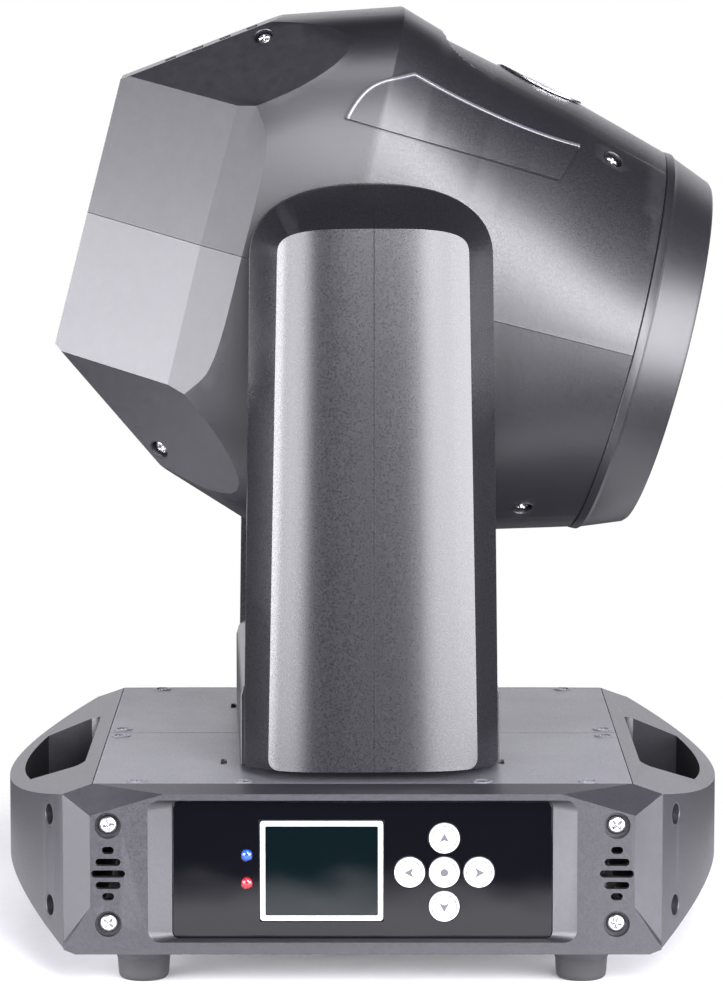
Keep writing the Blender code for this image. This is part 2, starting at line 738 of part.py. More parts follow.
def yoke_frame(parent):
    """The folded steel frame inside the yoke, with its bearing seats."""
    out = FRAME_PLATE_Y + FRAME_STEEL
    floor = FRAME_FLOOR + FRAME_STEEL
    top = 388.0
    outline = [(-out, FRAME_FLOOR), (out, FRAME_FLOOR), (out, top), (FRAME_PLATE_Y, top),
               (FRAME_PLATE_Y, floor), (-FRAME_PLATE_Y, floor), (-FRAME_PLATE_Y, top), (-out, top)]
    bm = bmesh.new()
    add_prism(bm, outline, -FRAME_HALF_X, FRAME_HALF_X, axis="X")
    obj = finish("yoke_frame", bm, "steel", parent)
    bm = bmesh.new()
    add_cylinder(bm, 30.6, -130, 130, axis="Y", at=(0, TILT_Z), segments=28)
    add_cylinder(bm, 31.6, 100, 140, segments=28)
    add_cylinder(bm, 6.0, 100, 140, at=(0, PAN_DRIVE_Y), segments=12)
    return boolean(obj, as_cutter(finish("yoke_frame_holes", bm, "trim", parent)))


def yoke_base_cover(parent):
    """The cover over the pan drive, between the arms."""
    outer = arc((-56, YOKE_BOX_TOP - 10), 10, 180, 90, 3) + arc((56, YOKE_BOX_TOP - 10), 10, 90, 0, 3)
    inner = arc((56, YOKE_BOX_TOP - 10), 7.5, 0, 90, 3) + arc((-56, YOKE_BOX_TOP - 10), 7.5, 90, 180, 3)
    outline = ([(-66, ARM_BOTTOM)] + outer + [(66, ARM_BOTTOM), (63.5, ARM_BOTTOM)] + inner
               + [(-63.5, ARM_BOTTOM)])
    bm = bmesh.new()
    add_prism(bm, outline, -ARM_INNER_Y + 0.5, ARM_INNER_Y - 0.5, axis="Y")
    return finish("yoke_base_cover", bm, "casing", parent)


def belt(name, drop, big, small, low, high, parent, matrix):
    """A flat toothed belt drawn as a closed band round two pulleys."""
    clear = 0.8
    thick = 1.5
    bm = bmesh.new()
    add_prism(bm, belt_outline(drop, big + clear + thick, small + clear + thick), low, high)
    obj = finish(name, bm, "rubber", parent)
    bm = bmesh.new()
    add_prism(bm, belt_outline(drop, big + clear, small + clear), low - 2, high + 2)
    cutter = as_cutter(finish(name + "_inside", bm, "rubber", parent))
    obj.matrix_local = matrix
    cutter.matrix_local = matrix
    return boolean(obj, cutter)


def toothed_pulley(name, low, high, parent, axis, at):
    """A small flanged motor pulley with a bore for the motor shaft."""
    flange = DRIVE_PULLEY_RADIUS + 1.0
    profile = [(2.9, high), (flange, high), (flange, high - 0.8), (DRIVE_PULLEY_RADIUS, high - 0.8),
               (DRIVE_PULLEY_RADIUS, low + 0.8), (flange, low + 0.8), (flange, low), (2.9, low)]
    return turned(name, profile, "aluminium", parent, axis, at, segments=14)


def pan_motor(parent):
    """A flat stepping motor on the frame floor, its shaft pointing down."""
    low = FRAME_FLOOR + FRAME_STEEL + GAP
    obj = box("pan_motor", (-21, PAN_DRIVE_Y - 21, low), (21, PAN_DRIVE_Y + 21, 147.5), "black",
              parent)
    bm = bmesh.new()
    add_cylinder(bm, 2.5, 108.8, low + 2, at=(0, PAN_DRIVE_Y), segments=10)
    return boolean(obj, as_cutter(finish("pan_motor_shaft", bm, "black", parent)), "UNION")


def tilt_motor(parent):
    """A flat stepping motor in the front arm, on four posts, its shaft pointing inwards."""
    z = TILT_Z - TILT_DRIVE_DROP
    obj = box("tilt_motor", (-28, -139.8, z - 28), (28, -122, z + 28), "black", parent)
    bm = bmesh.new()
    add_cylinder(bm, 2.5, -123, -114.8, axis="Y", at=(0, z), segments=10)
    for x in (-23.5, 23.5):
        for rise in (-23.5, 23.5):
            add_cylinder(bm, 3.0, -123, -113 - GAP, axis="Y", at=(x, z + rise), segments=8)
    return boolean(obj, as_cutter(finish("tilt_motor_posts", bm, "black", parent)), "UNION")


def build_yoke(pan):
    """The panning yoke: frame, covers, motors, belts and bearings."""
    yoke_frame(pan)
    for row, facing in (("front", -1), ("rear", 1)):
        arm_outer_cover(row + "_arm_outer_cover", facing, pan)
        arm_inner_cover(row + "_arm_inner_cover", facing, pan)
        low, high = sorted((facing * 109.1, facing * 113.9))
        ring_bearing(row + "_tilt_bearing", TRUNNION_RADIUS + GAP, 30.0, low, high, pan, "Y",
                     (0, 0, TILT_Z))
    yoke_base_cover(pan)
    pan_motor(pan)
    tilt_motor(pan)
    pan_turn = Matrix.Rotation(math.radians(180), 4, "Z")
    belt("pan_belt", PAN_DRIVE_Y, PAN_PULLEY_RADIUS, DRIVE_PULLEY_RADIUS, 109.6, 116.4, pan, pan_turn)
    upright = Matrix.Translation((0, 0, TILT_Z * MM)) @ Matrix.Rotation(math.radians(90), 4, "X")
    belt("tilt_belt", TILT_DRIVE_DROP, TILT_PULLEY_RADIUS, DRIVE_PULLEY_RADIUS, 115.8, 118.2, pan,
         upright)
    toothed_pulley("pan_drive_pulley", 108.5, 117.5, pan, "Z", (0, PAN_DRIVE_Y, 0))
    toothed_pulley("tilt_drive_pulley", -119.3, -114.7, pan, "Y", (0, 0, TILT_Z - TILT_DRIVE_DROP))


# ---------------------------------------------------------------- head

def head_station(u):
    """Interpolate the head's height, strip depth, half width and exponent at a station."""
    for low, high in zip(HEAD_STATIONS, HEAD_STATIONS[1:]):
        if u <= high[0]:
            share = (u - low[0]) / (high[0] - low[0])
            return [a + (b - a) * share for a, b in zip(low[1:], high[1:])]
    return list(HEAD_STATIONS[-1][1:])


def head_side(u, v):
    """Half width of the barrel at a height v."""
    height, _, half_width, exponent = head_station(u)
    return half_width * (1 - min(1.0, abs(v) / height) ** exponent) ** (1 / exponent)


def head_top(u, w):
    """Height of the strip on top of the barrel at a distance w from its middle."""
    height, strip, half_width, exponent = head_station(u)
    return height * (1 - min(1.0, abs(w) / half_width) ** exponent) ** (1 / exponent) - strip


def head_ring(station):
    """A cross-section of the barrel: a superellipse with a sunk strip on top and below."""
    u, height, strip, half_width, exponent = station
    edges = [STRIP_ANGLE * share for share in (0, 0.5, 1.0)] + [STRIP_ANGLE + 1.2]
    quarter = edges + [37, 47, 57, 68, 79, 90]
    angles = quarter + [180 - angle for angle in reversed(quarter[:-1])]
    angles += [360 - angle for angle in reversed(angles[1:-1])]
    ring = []
    for angle in angles:
        sine = math.sin(math.radians(angle))
        cosine = math.cos(math.radians(angle))
        reach = (abs(sine / half_width) ** exponent + abs(cosine / height) ** exponent)
        radius = reach ** (-1 / exponent)
        from_top = min(angle, abs(180 - angle), 360 - angle)
        if from_top <= STRIP_ANGLE:
            radius -= strip
        ring.append((u, radius * sine, radius * cosine))
    return ring


def facet_planes():
    """Points and normals of the flat facets that cut the rear of the barrel."""
    planes = [((HEAD_REAR, 0, 0), (-1, 0, 0))]
    rise = SLOPE_TOP[1] - REAR_HALF_V
    run = SLOPE_TOP[0] - HEAD_REAR
    corner = Vector((HEAD_REAR, REAR_HALF_W, REAR_HALF_V))
    edge = Vector((FACET_EDGE[0], FACET_EDGE[1], REAR_HALF_V)) - corner
    climb = Vector((SLOPE_TOP[0], REAR_HALF_W, SLOPE_TOP[1])) - corner
    tilted = edge.cross(climb)
    if tilted.z < 0:
        tilted.negate()
    for side in (-1, 1):
        planes.append(((HEAD_REAR, 0, side * REAR_HALF_V), (-rise, 0, side * run)))
        run_1 = FACET_EDGE[0] - HEAD_REAR
        planes.append(((HEAD_REAR, side * REAR_HALF_W, 0),
                       (REAR_HALF_W - FACET_EDGE[1], side * run_1, 0)))
        run_2 = FACET_FRONT[0] - FACET_EDGE[0]
        planes.append(((FACET_EDGE[0], side * FACET_EDGE[1], 0),
                       (FACET_EDGE[1] - FACET_FRONT[1], side * run_2, 0)))
        for up in (-1, 1):
            planes.append(((corner.x, side * corner.y, up * corner.z),
                           (tilted.x, side * tilted.y, up * tilted.z)))
    return planes, tilted.normalized()


def head_shell(name, up, parent):
    """Half of the head's casing, split at the height of the tilt axis."""
    planes, tilted = facet_planes()
    bm = bmesh.new()
    rows = add_loft(bm, [head_ring(station) for station in HEAD_STATIONS])
    front = [face for face in bm.faces if all(vert in rows[-1] for vert in face.verts)]
    bmesh.ops.recalc_face_normals(bm, faces=bm.faces[:])
    for point, normal in planes:
        slice_off(bm, point, normal)
    bmesh.ops.recalc_face_normals(bm, faces=bm.faces[:])
    bmesh.ops.delete(bm, geom=front, context="FACES_ONLY")
    slice_off(bm, (0, 0, up * PARTING_GAP), (0, 0, -up), fill=False)
    obj = finish(name, bm, "casing", parent, normals=False)
    wall = obj.modifiers.new("wall", "SOLIDIFY")
    wall.thickness = SHELL_WALL * MM
    wall.offset = -1
    wall.use_even_offset = True

    bm = bmesh.new()
    add_cylinder(bm, 25.0, -130, 130, axis="Y", segments=20)
    boolean(obj, as_cutter(finish(name + "_trunnion_hole", bm, "trim", parent)))
    bm = bmesh.new()
    add_box(bm, (HEAD_REAR - 5, -32, -52), (HEAD_REAR + 8, 32, 52))
    boolean(obj, as_cutter(finish(name + "_rear_opening", bm, "trim", parent)))

    lean = math.degrees(math.atan2(SLOPE_TOP[1] - REAR_HALF_V, SLOPE_TOP[0] - HEAD_REAR))
    slots = 4
    for index in range(slots):
        share = 0.3 + 0.5 * index / (slots - 1)
        bm = bmesh.new()
        add_box(bm, (-3.0, -30, -8), (3.0, 30, 8))
        slot = as_cutter(finish(f"{name}_slot_{index}", bm, "trim", parent))
        spot = Vector((HEAD_REAR + share * (SLOPE_TOP[0] - HEAD_REAR), 0,
                       up * (REAR_HALF_V + share * (SLOPE_TOP[1] - REAR_HALF_V))))
        slot.location = spot * MM
        slot.rotation_euler = (0, math.radians(-up * lean), 0)
        boolean(obj, slot)

    for side in (-1, 1):
        spots = (
            (Vector((-80.6, side * 50.0, up * 107.0)), Vector((tilted.x, side * tilted.y, up * tilted.z))),
            (Vector((107.0, side * 60.0, up * 93.0)), Vector((0.25, side * 0.6, up * 0.8))),
        )
        for index, (spot, outward) in enumerate(spots):
            bm = bmesh.new()
            add_cylinder(bm, 5.0, -22, 22, segments=10)
            hole = as_cutter(finish(f"{name}_screw_{side + 1}{index}", bm, "trim", parent))
            turn = Vector((0, 0, 1)).rotation_difference(outward.normalized()).to_matrix().to_4x4()
            hole.matrix_local = Matrix.Translation(spot * MM) @ turn
            boolean(obj, hole)
    return obj


def front_ring(parent):
    """The ring that holds the front lens: a bead at the seam, then a cone to the rim."""
    seam = HEAD_SEAM + GAP
    profile = [(88.5, HEAD_RIM), (91.5, HEAD_RIM), (101.4, 142.5), (102.0, 141.0), (102.0, seam),
               (95.0, seam), (80.0, 145.0), (80.0, 149.0), (85.0, 149.0), (85.0, 158.0)]
    return turned("front_ring", profile, "casing", parent, "X", segments=44)


def front_lens(parent):
    """The plano-convex front lens."""
    profile = [(0, 158.5)]
    steps = 3
    for step in range(1, steps + 1):
        share = step / steps
        profile.append((84.0 * share, 158.5 - 5.0 * share ** 2))
    profile += [(84.0, 149.5), (0, 149.5)]
    return turned("front_lens", profile, "glass", parent, "X", segments=32)


def rear_vent_panel(parent):
    """The slotted panel in the rear opening."""
    obj = box("rear_vent_panel", (HEAD_REAR + 0.5, -31.6, -51.6), (HEAD_REAR + 2.8, 31.6, 51.6), "trim",
              parent)
    bm = bmesh.new()
    for row in range(7):
        z = -39 + row * 13
        add_prism(bm, slot_outline(0, z, 50, 5.0), HEAD_REAR - 3, HEAD_REAR + 6, axis="X")
    return boolean(obj, as_cutter(finish("rear_vent_slots", bm, "trim", parent)))


def blade_trim(name, side, parent):
    """A raised blade on the side of the barrel: straight below, arched and hollowed above."""
    columns = 12
    rows = 2

    def lower(share):
        return Vector((-27 + 112 * share, 80 - 4 * share))

    def upper(share):
        u = -27 + 119 * share
        if u < 0.5:
            climb = (u + 27) / 27.5
            return Vector((u, 82 + 28 * math.sin(climb * math.pi / 2)))
        fall = (u - 0.5) / 91.5
        return Vector((u, 95 + 15 * (1 - fall) ** 1.7))

    bm = bmesh.new()
    grid = []
    for column in range(columns + 1):
        share = column / columns
        line = []
        for row in range(rows + 1):
            spot = lower(share).lerp(upper(share), row / rows)
            w = side * (head_side(spot.x, spot.y) + BLADE_GAP)
            line.append(bm.verts.new((spot.x, w, spot.y)))
        grid.append(line)
    for left, right in zip(grid, grid[1:]):
        for row in range(rows):
            bm.faces.new((left[row], right[row], right[row + 1], left[row + 1]))
    bmesh.ops.recalc_face_normals(bm, faces=bm.faces[:])
    if sum(face.normal.y for face in bm.faces) * side < 0:
        bmesh.ops.reverse_faces(bm, faces=bm.faces[:])
    obj = finish(name, bm, "trim", parent, normals=False)
    wall = obj.modifiers.new("thickness", "SOLIDIFY")
    wall.thickness = 2.5 * MM
    wall.offset = 1
    return obj


def badge(parent):
    """A blank round badge that lies on the top strip."""
    centre_u = 65.0
    radius = 24.0
    rings = 2
    spokes = 20
    bm = bmesh.new()
    middle = bm.verts.new((centre_u, 0, head_top(centre_u, 0) + BADGE_GAP))
    previous = None
    for ring in range(1, rings + 1):
        line = []
        for spoke in range(spokes):
            angle = 2 * math.pi * spoke / spokes
            u = centre_u + radius * ring / rings * math.cos(angle)
            w = radius * ring / rings * math.sin(angle)
            line.append(bm.verts.new((u, w, head_top(u, w) + BADGE_GAP)))
        for spoke in range(spokes):
            after = (spoke + 1) % spokes
            if previous is None:
                bm.faces.new((middle, line[spoke], line[after]))
            else:
                bm.faces.new((previous[spoke], line[spoke], line[after], previous[after]))
        previous = line
    bmesh.ops.recalc_face_normals(bm, faces=bm.faces[:])
    if sum(face.normal.z for face in bm.faces) < 0:
        bmesh.ops.reverse_faces(bm, faces=bm.faces[:])
    obj = finish("badge", bm, "badge", parent, normals=False)
    wall = obj.modifiers.new("thickness", "SOLIDIFY")
    wall.thickness = 1.6 * MM
    wall.offset = 1
    return obj


def head_frame(parent):
    """The U-shaped inner frame that joins the trunnions and carries the lamp and the optics."""
    bm = bmesh.new()
    add_prism(bm, rectangle(-78, 128, -72, 72), -28, 28)
    obj = finish("head_frame", bm, "steel", parent)
    bm = bmesh.new()
    add_prism(bm, rectangle(-75, 140, -69, 69), -32, 32)
    return boolean(obj, as_cutter(finish("head_frame_inside", bm, "trim", parent)))


def trunnion(name, facing, parent, with_pulley):
    """A hollow trunnion bolted to the head frame; the driven one carries the tilt pulley."""
    start = 72 + GAP
    profile = [(12, 121.5), (TRUNNION_RADIUS, 121.5)]
    if with_pulley:
        profile += [(TRUNNION_RADIUS, 119.4), (TILT_PULLEY_RADIUS, 119.4), (TILT_PULLEY_RADIUS, 114.6),
                    (TRUNNION_RADIUS, 114.6)]
    profile += [(TRUNNION_RADIUS, start + 4), (27, start + 4), (27, start), (12, start)]
    obj = turned(name, profile, "aluminium", parent, segments=28)
    obj.matrix_local = Matrix.Rotation(math.radians(-90 * facing), 4, "X")
    return obj


def lamp_module(parent):
    """The lamp housing with its open reflector bowl."""
    profile = [(0, -60), (16, -55), (29, -42), (37, -24), (40, -24), (33, -50), (28, -62), (28, -74),
               (0, -74)]
    return turned("lamp_module", profile, "aluminium", parent, "X", segments=24)


def heat_sink(parent):
    """A finned block behind the lamp."""
    fins = 8
    half = 36.0
    pitch = 2 * half / fins
    outline = [(-79, -half), (-79, half)]
    for fin in range(fins):
        top = half - fin * pitch
        outline += [(-118, top), (-118, top - 3), (-84, top - 3)]
        if fin < fins - 1:
            outline.append((-84, top - pitch))
    outline.append((-84, -half))
    bm = bmesh.new()
    add_prism(bm, outline, -42, 42)
    return finish("heat_sink", bm, "aluminium", parent)


def effect_wheel(name, u, centre_v, openings, hole_radius, parent):
    """A thin wheel with round openings that pass through the beam."""
    radius = 52.0
    pitch_radius = 40.0
    bm = bmesh.new()
    add_cylinder(bm, radius, u, u + 1.6, axis="X", at=(0, centre_v), segments=32)
    obj = finish(name, bm, "aluminium", parent)
    bm = bmesh.new()
    add_cylinder(bm, 9.0, u - 2, u + 4, axis="X", at=(0, centre_v), segments=14)
    boolean(obj, as_cutter(finish(name + "_hub", bm, "aluminium", parent)), "UNION")
    bm = bmesh.new()
    towards_beam = 90 if centre_v < 0 else 270
    for index in range(openings):
        angle = math.radians(towards_beam + 360 * index / openings)
        at = (pitch_radius * math.cos(angle), centre_v + pitch_radius * math.sin(angle))
        add_cylinder(bm, hole_radius, u - 4, u + 6, axis="X", at=at, segments=10)
    return boolean(obj, as_cutter(finish(name + "_openings", bm, "aluminium", parent)))


def focus_lens(parent):
    """The focusing lens in its carrier ring."""
    profile = [(0, 97), (16, 95.5), (28, 91), (30, 91), (30, 95), (34, 95), (34, 85), (0, 85)]
    return turned("focus_lens", profile, "glass", parent, "X", segments=20)


def fan_rotor(parent):
    """A cooling fan's rotor: a hub and seven slanted blades."""
    bm = bmesh.new()
    add_cylinder(bm, 13.0, -136, -124, axis="X", segments=14)
    obj = finish("fan_rotor", bm, "black", parent)
    blades = 7
    for index in range(blades):
        bm = bmesh.new()
        add_box(bm, (-1.0, -6.5, 11.0), (1.0, 6.5, 36.0))
        blade = as_cutter(finish(f"fan_blade_{index}", bm, "black", parent))
        turn = Matrix.Rotation(2 * math.pi * index / blades, 4, "X")
        slant = Matrix.Rotation(math.radians(52), 4, "Z")
        blade.matrix_local = Matrix.Translation((-0.130, 0, 0)) @ turn @ slant
        boolean(obj, blade, "UNION")
    return obj


def build_head(tilt):
    """The tilting head: casing, front optics, frame and what it carries."""
    head_shell("head_upper_shell", 1, tilt)
    head_shell("head_lower_shell", -1, tilt)
    rear_vent_panel(tilt)
    front_ring(tilt)
    front_lens(tilt)
    head_frame(tilt)
    trunnion("front_trunnion", -1, tilt, True)
    trunnion("rear_trunnion", 1, tilt, False)
    lamp_module(tilt)
    heat_sink(tilt)
    blade_trim("front_blade_trim", -1, tilt)
    blade_trim("rear_blade_trim", 1, tilt)
    badge(tilt)
    effect_wheel("color_wheel", -8.0, -40.0, 8, 9.0, tilt)
    effect_wheel("gobo_wheel", 6.0, 40.0, 7, 8.0, tilt)
    focus_lens(tilt)
    fan_rotor(tilt)


def main():
    """Build the whole light."""
    pan = axis_empty("pan_axis", (0, 0, 0), (0, 0, PAN_REST_DEG))
    tilt = axis_empty("tilt_axis", (0, 0, TILT_Z), (0, TILT_REST_DEG, 0), pan)
    build_base()
    build_yoke(pan)
    build_head(tilt)


main()
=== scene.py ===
"""The looks of the moving head light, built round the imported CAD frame. Sizes are in millimetres."""
import json
import math

import bmesh
import bpy
from mathutils import Matrix, Vector


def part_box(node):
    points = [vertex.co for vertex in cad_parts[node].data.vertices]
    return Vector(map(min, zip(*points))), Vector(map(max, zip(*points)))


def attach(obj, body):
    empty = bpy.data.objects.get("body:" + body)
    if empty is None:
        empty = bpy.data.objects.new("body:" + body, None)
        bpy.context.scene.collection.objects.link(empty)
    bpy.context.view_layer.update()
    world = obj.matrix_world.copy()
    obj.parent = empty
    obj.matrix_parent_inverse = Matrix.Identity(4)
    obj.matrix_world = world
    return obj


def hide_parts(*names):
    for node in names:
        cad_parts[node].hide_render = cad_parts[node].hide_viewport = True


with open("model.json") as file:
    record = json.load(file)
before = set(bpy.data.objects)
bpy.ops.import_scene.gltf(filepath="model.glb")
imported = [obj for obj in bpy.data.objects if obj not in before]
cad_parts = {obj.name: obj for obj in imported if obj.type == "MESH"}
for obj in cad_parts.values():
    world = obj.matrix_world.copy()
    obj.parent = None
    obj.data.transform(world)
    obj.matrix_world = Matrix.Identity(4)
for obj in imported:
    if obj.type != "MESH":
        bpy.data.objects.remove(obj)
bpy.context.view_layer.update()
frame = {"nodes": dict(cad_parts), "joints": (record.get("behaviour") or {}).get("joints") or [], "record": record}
NODES = frame["nodes"]
JOINTS = {joint["name"]: joint for joint in frame["joints"]}
MM = 0.001
SIDES = (-1, 1)


def axes_matrix(x, y, z, origin):
    """The matrix of a frame given by its axes and its origin."""
    matrix = Matrix((x, y, z)).transposed().to_4x4()
    matrix.translation = origin
    return matrix


VERTICAL = Vector((0, 0, 1))
FORWARD = Vector(JOINTS["focus_slide"]["axis"])
ACROSS = Vector(JOINTS["tilt"]["axis"])
BASE = Matrix.Identity(4)
YOKE = axes_matrix(ACROSS.cross(VERTICAL), ACROSS, VERTICAL, Vector())
HEAD = axes_matrix(FORWARD, ACROSS, FORWARD.cross(ACROSS), Vector(JOINTS["tilt"]["pos_m"]))
TILT_Z = JOINTS["tilt"]["pos_m"][2] / MM


def node_box(name):
    """A CAD node's box in millimetres."""
    low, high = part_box(name)
    return low / MM, high / MM


# ---- materials

class Look:
    """A node material round its Principled shader. Sources are output sockets."""

    def __init__(self, name):
        self.material = bpy.data.materials.new(name)
        self.material.use_nodes = True
        self.nodes = self.material.node_tree.nodes
        self.link = self.material.node_tree.links.new
        self.shader = self.nodes["Principled BSDF"]

    def put(self, socket, value):
        """Set one of the shader's sockets."""
        self.shader.inputs[socket].default_value = value

    def add(self, kind, **values):
        """Add a node and set its sockets; _ stands for a space."""
        made = self.nodes.new("ShaderNode" + kind)
        for key, value in values.items():
            made.inputs[key.replace("_", " ")].default_value = value
        return made

    def noise(self, scale, detail, roughness, stretch=(1, 1, 1)):
        """Noise in object space, with an optional stretch."""
        mapping = self.add("Mapping", Scale=stretch)
        self.link(self.add("TexCoord").outputs["Object"], mapping.inputs["Vector"])
        made = self.add("TexNoise", Scale=scale, Detail=detail, Roughness=roughness)
        self.link(mapping.outputs["Vector"], made.inputs["Vector"])
        return made.outputs["Fac"]

    def ramp(self, source, low, high, start=0.3, end=0.7):
        """A two-stop colour ramp."""
        made = self.add("ValToRGB")
        for element, place, colour in zip(made.color_ramp.elements, (start, end), (low, high)):
            element.position = place
            element.color = (*colour, 1)
        self.link(source, made.inputs["Fac"])
        return made.outputs["Color"]

    def span(self, source, low, high):
        """Map a 0 to 1 value to a range."""
        made = self.add("MapRange", To_Min=low, To_Max=high)
        self.link(source, made.inputs["Value"])
        return made.outputs["Result"]

    def mix(self, first, second):
        """Blend two colour sources; return the factor's socket and the result."""
        made = self.add("Mix")
        made.data_type = "RGBA"
        self.link(first, made.inputs[6])
        self.link(second, made.inputs[7])
        return made.inputs[0], made.outputs[2]

    def bump(self, source, strength, distance, under=None):
        """Bump from a height, on top of another bump."""
        made = self.add("Bump", Strength=strength, Distance=distance)
        self.link(source, made.inputs["Height"])
        if under is not None:
            self.link(under, made.inputs["Normal"])
        self.link(made.outputs["Normal"], self.shader.inputs["Normal"])
        return made.outputs["Normal"]

    def colour(self, source, low, high, start=0.3, end=0.7):
        """Drive the base colour by a ramp."""
        tone = self.ramp(source, low, high, start, end)
        self.link(tone, self.shader.inputs["Base Color"])
        return tone

    def rough(self, source, low, high):
        """Drive the roughness between two values."""
        self.link(self.span(source, low, high), self.shader.inputs["Roughness"])


def tint(colour, factor, lift=0.0):
    """A colour made darker or lighter."""
    return tuple(min(1.0, channel * factor + lift) for channel in colour)


def grained_plastic(name, colour, roughness, speckle=0.35, grain=0.22, grain_scale=1300.0):
    """Moulded plastic: fine grain, a metallic-looking speckle, cloudy tone and paler colour in patches along sharp
    convex edges.
    """
    look = Look(name)
    fine = look.noise(grain_scale, 3.0, 0.65)
    speckles = look.ramp(fine, tint(colour, 1 - speckle), tint(colour, 1 + speckle), 0.38, 0.66)
    tone = look.ramp(look.noise(9.0, 4.0, 0.55), tint(colour, 0.88), tint(colour, 1.12))
    share, base = look.mix(speckles, tone)
    share.default_value = 0.35
    # Colour made paler in patches where pointiness marks sharp convex edges.
    geometry = look.add("NewGeometry")
    edge = look.ramp(geometry.outputs["Pointiness"], (0, 0, 0), (1, 1, 1), 0.52, 0.60)
    patchy = look.add("Math")
    patchy.operation = "MULTIPLY"
    look.link(edge, patchy.inputs[0])
    look.link(look.noise(160.0, 5.0, 0.7), patchy.inputs[1])
    pale = look.add("RGB")
    pale.outputs[0].default_value = (*tint(colour, 2.2, 0.02), 1)
    amount, pale_edged = look.mix(base, pale.outputs[0])
    look.link(look.span(patchy.outputs["Value"], 0.0, 0.5), amount)
    look.link(pale_edged, look.shader.inputs["Base Color"])
    look.rough(fine, roughness - 0.14, roughness + 0.14)
    look.put("Specular IOR Level", 0.62)
    waves = look.bump(look.noise(14.0, 2.0, 0.5), 0.05, 0.002)
    look.bump(fine, grain, 0.00012, waves)
    return look.material


def painted_steel(name, colour, roughness):
    """Sheet metal under a textured powder coat."""
    look = Look(name)
    crackle = look.noise(700.0, 4.0, 0.6)
    look.colour(crackle, tint(colour, 0.75), tint(colour, 1.25), 0.35, 0.68)
    look.rough(look.noise(22.0, 4.0, 0.6), roughness - 0.06, roughness + 0.08)
    look.bump(crackle, 0.45, 0.0003)
    return look.material


def bare_metal(name, colour, roughness, stretch=(1, 1, 1), scale=260.0):
    """Machined or brushed metal with fine streaks and slight stains."""
    look = Look(name)
    streaks = look.noise(scale, 5.0, 0.65, stretch)
    look.colour(streaks, tint(colour, 0.8), tint(colour, 1.08))
    look.put("Metallic", 1.0)
    look.rough(look.noise(35.0, 4.0, 0.6), roughness - 0.08, roughness + 0.1)
    look.bump(streaks, 0.12, 0.0002)
    return look.material


def gloss_panel(name, colour, roughness):
    """Glossy film with faint dust and hairline smears."""
    look = Look(name)
    look.colour(look.noise(900.0, 4.0, 0.7), colour, tint(colour, 1.6, 0.002), 0.6, 0.85)
    look.rough(look.noise(16.0, 5.0, 0.7, (1, 1, 3)), roughness * 0.6, roughness * 1.6)
    look.bump(look.noise(14.0, 2.0, 0.5), 0.25, 0.004)
    return look.material


def satin_plastic(name, colour, roughness, coat=0.0):
    """Plain satin plastic with a faint mould texture."""
    look = Look(name)
    fine = look.noise(600.0, 3.0, 0.6)
    look.colour(fine, tint(colour, 0.93), tint(colour, 1.05))
    look.rough(look.noise(40.0, 3.0, 0.6), roughness - 0.05, roughness + 0.07)
    look.put("Coat Weight", coat)
    look.bump(fine, 0.12, 0.0002)
    return look.material


def lamp_lens(name, colour, glow):
    """A coloured indicator lens, faintly lit from inside."""
    look = Look(name)
    tone = look.colour(look.noise(500.0, 2.0, 0.5), tint(colour, 0.6), colour)
    look.link(tone, look.shader.inputs["Emission Color"])
    look.put("Emission Strength", glow)
    look.put("Roughness", 0.12)
    look.put("Coat Weight", 0.8)
    return look.material


def optical_glass(name):
    """Clear glass with faint smears."""
    look = Look(name)
    smear = look.noise(30.0, 4.0, 0.6)
    look.rough(smear, 0.01, 0.06)
    look.colour(smear, (0.86, 0.9, 0.95), (0.95, 0.97, 1.0))
    look.put("Transmission Weight", 0.9)
    look.put("IOR", 1.47)
    return look.material


CHARCOAL = (0.0075, 0.0070, 0.0092)
CASING = grained_plastic("casing_plastic", CHARCOAL, 0.38)
ARM_CASING = grained_plastic("arm_plastic", CHARCOAL, 0.29, grain=0.10)
TRIM = grained_plastic("trim_plastic", (0.008, 0.008, 0.010), 0.34)
BASE_CASING = grained_plastic("base_plastic", (0.016, 0.0155, 0.019), 0.42, speckle=0.4, grain=0.5,
                              grain_scale=1100.0)
DECK_PAINT = painted_steel("deck_paint", (0.12, 0.12, 0.134), 0.42)
RUBBER = satin_plastic("foot_rubber", (0.028, 0.028, 0.03), 0.72)
ZINC = bare_metal("zinc_plate", (0.55, 0.55, 0.53), 0.36, (1, 6, 1))
# The bead's base colour is much paler than the casing it belongs to: a painted highlight along the blade's upper
# edge. Its gloss and coat are the bead's own.
BEAD_PAINTED_HIGHLIGHT = satin_plastic("bead_painted_highlight", (0.06, 0.06, 0.068), 0.24, 0.4)
NICKEL = bare_metal("screw_nickel", (0.60, 0.60, 0.61), 0.24, scale=400.0)
DARK_STEEL = bare_metal("blackened_steel", (0.06, 0.06, 0.065), 0.4, scale=400.0)
BEARING = bare_metal("bearing_steel", (0.7, 0.7, 0.72), 0.18)
ALUMINIUM = bare_metal("machined_aluminium", (0.75, 0.76, 0.78), 0.3, (1, 1, 5))
BADGE = bare_metal("badge_silver", (0.8, 0.8, 0.82), 0.22, (1, 8, 1), 120.0)
PANEL = gloss_panel("panel_film", (0.0015, 0.0015, 0.0026), 0.07)
SCREEN_GLASS = gloss_panel("screen_glass", (0.0006, 0.0028, 0.0034), 0.06)
WHITE = satin_plastic("white_plastic", (0.50, 0.50, 0.52), 0.34, 0.1)
GREY_MARK = satin_plastic("grey_marks", (0.06, 0.06, 0.07), 0.45)
BLUE = lamp_lens("blue_lens", (0.01, 0.06, 0.42), 0.12)
RED = lamp_lens("red_lens", (0.5, 0.01, 0.02), 0.12)
BOARD = satin_plastic("solder_mask", (0.01, 0.11, 0.04), 0.3, 0.5)
BLACK = satin_plastic("black_plastic", (0.014, 0.014, 0.015), 0.42)
GLASS = optical_glass("lens_glass")
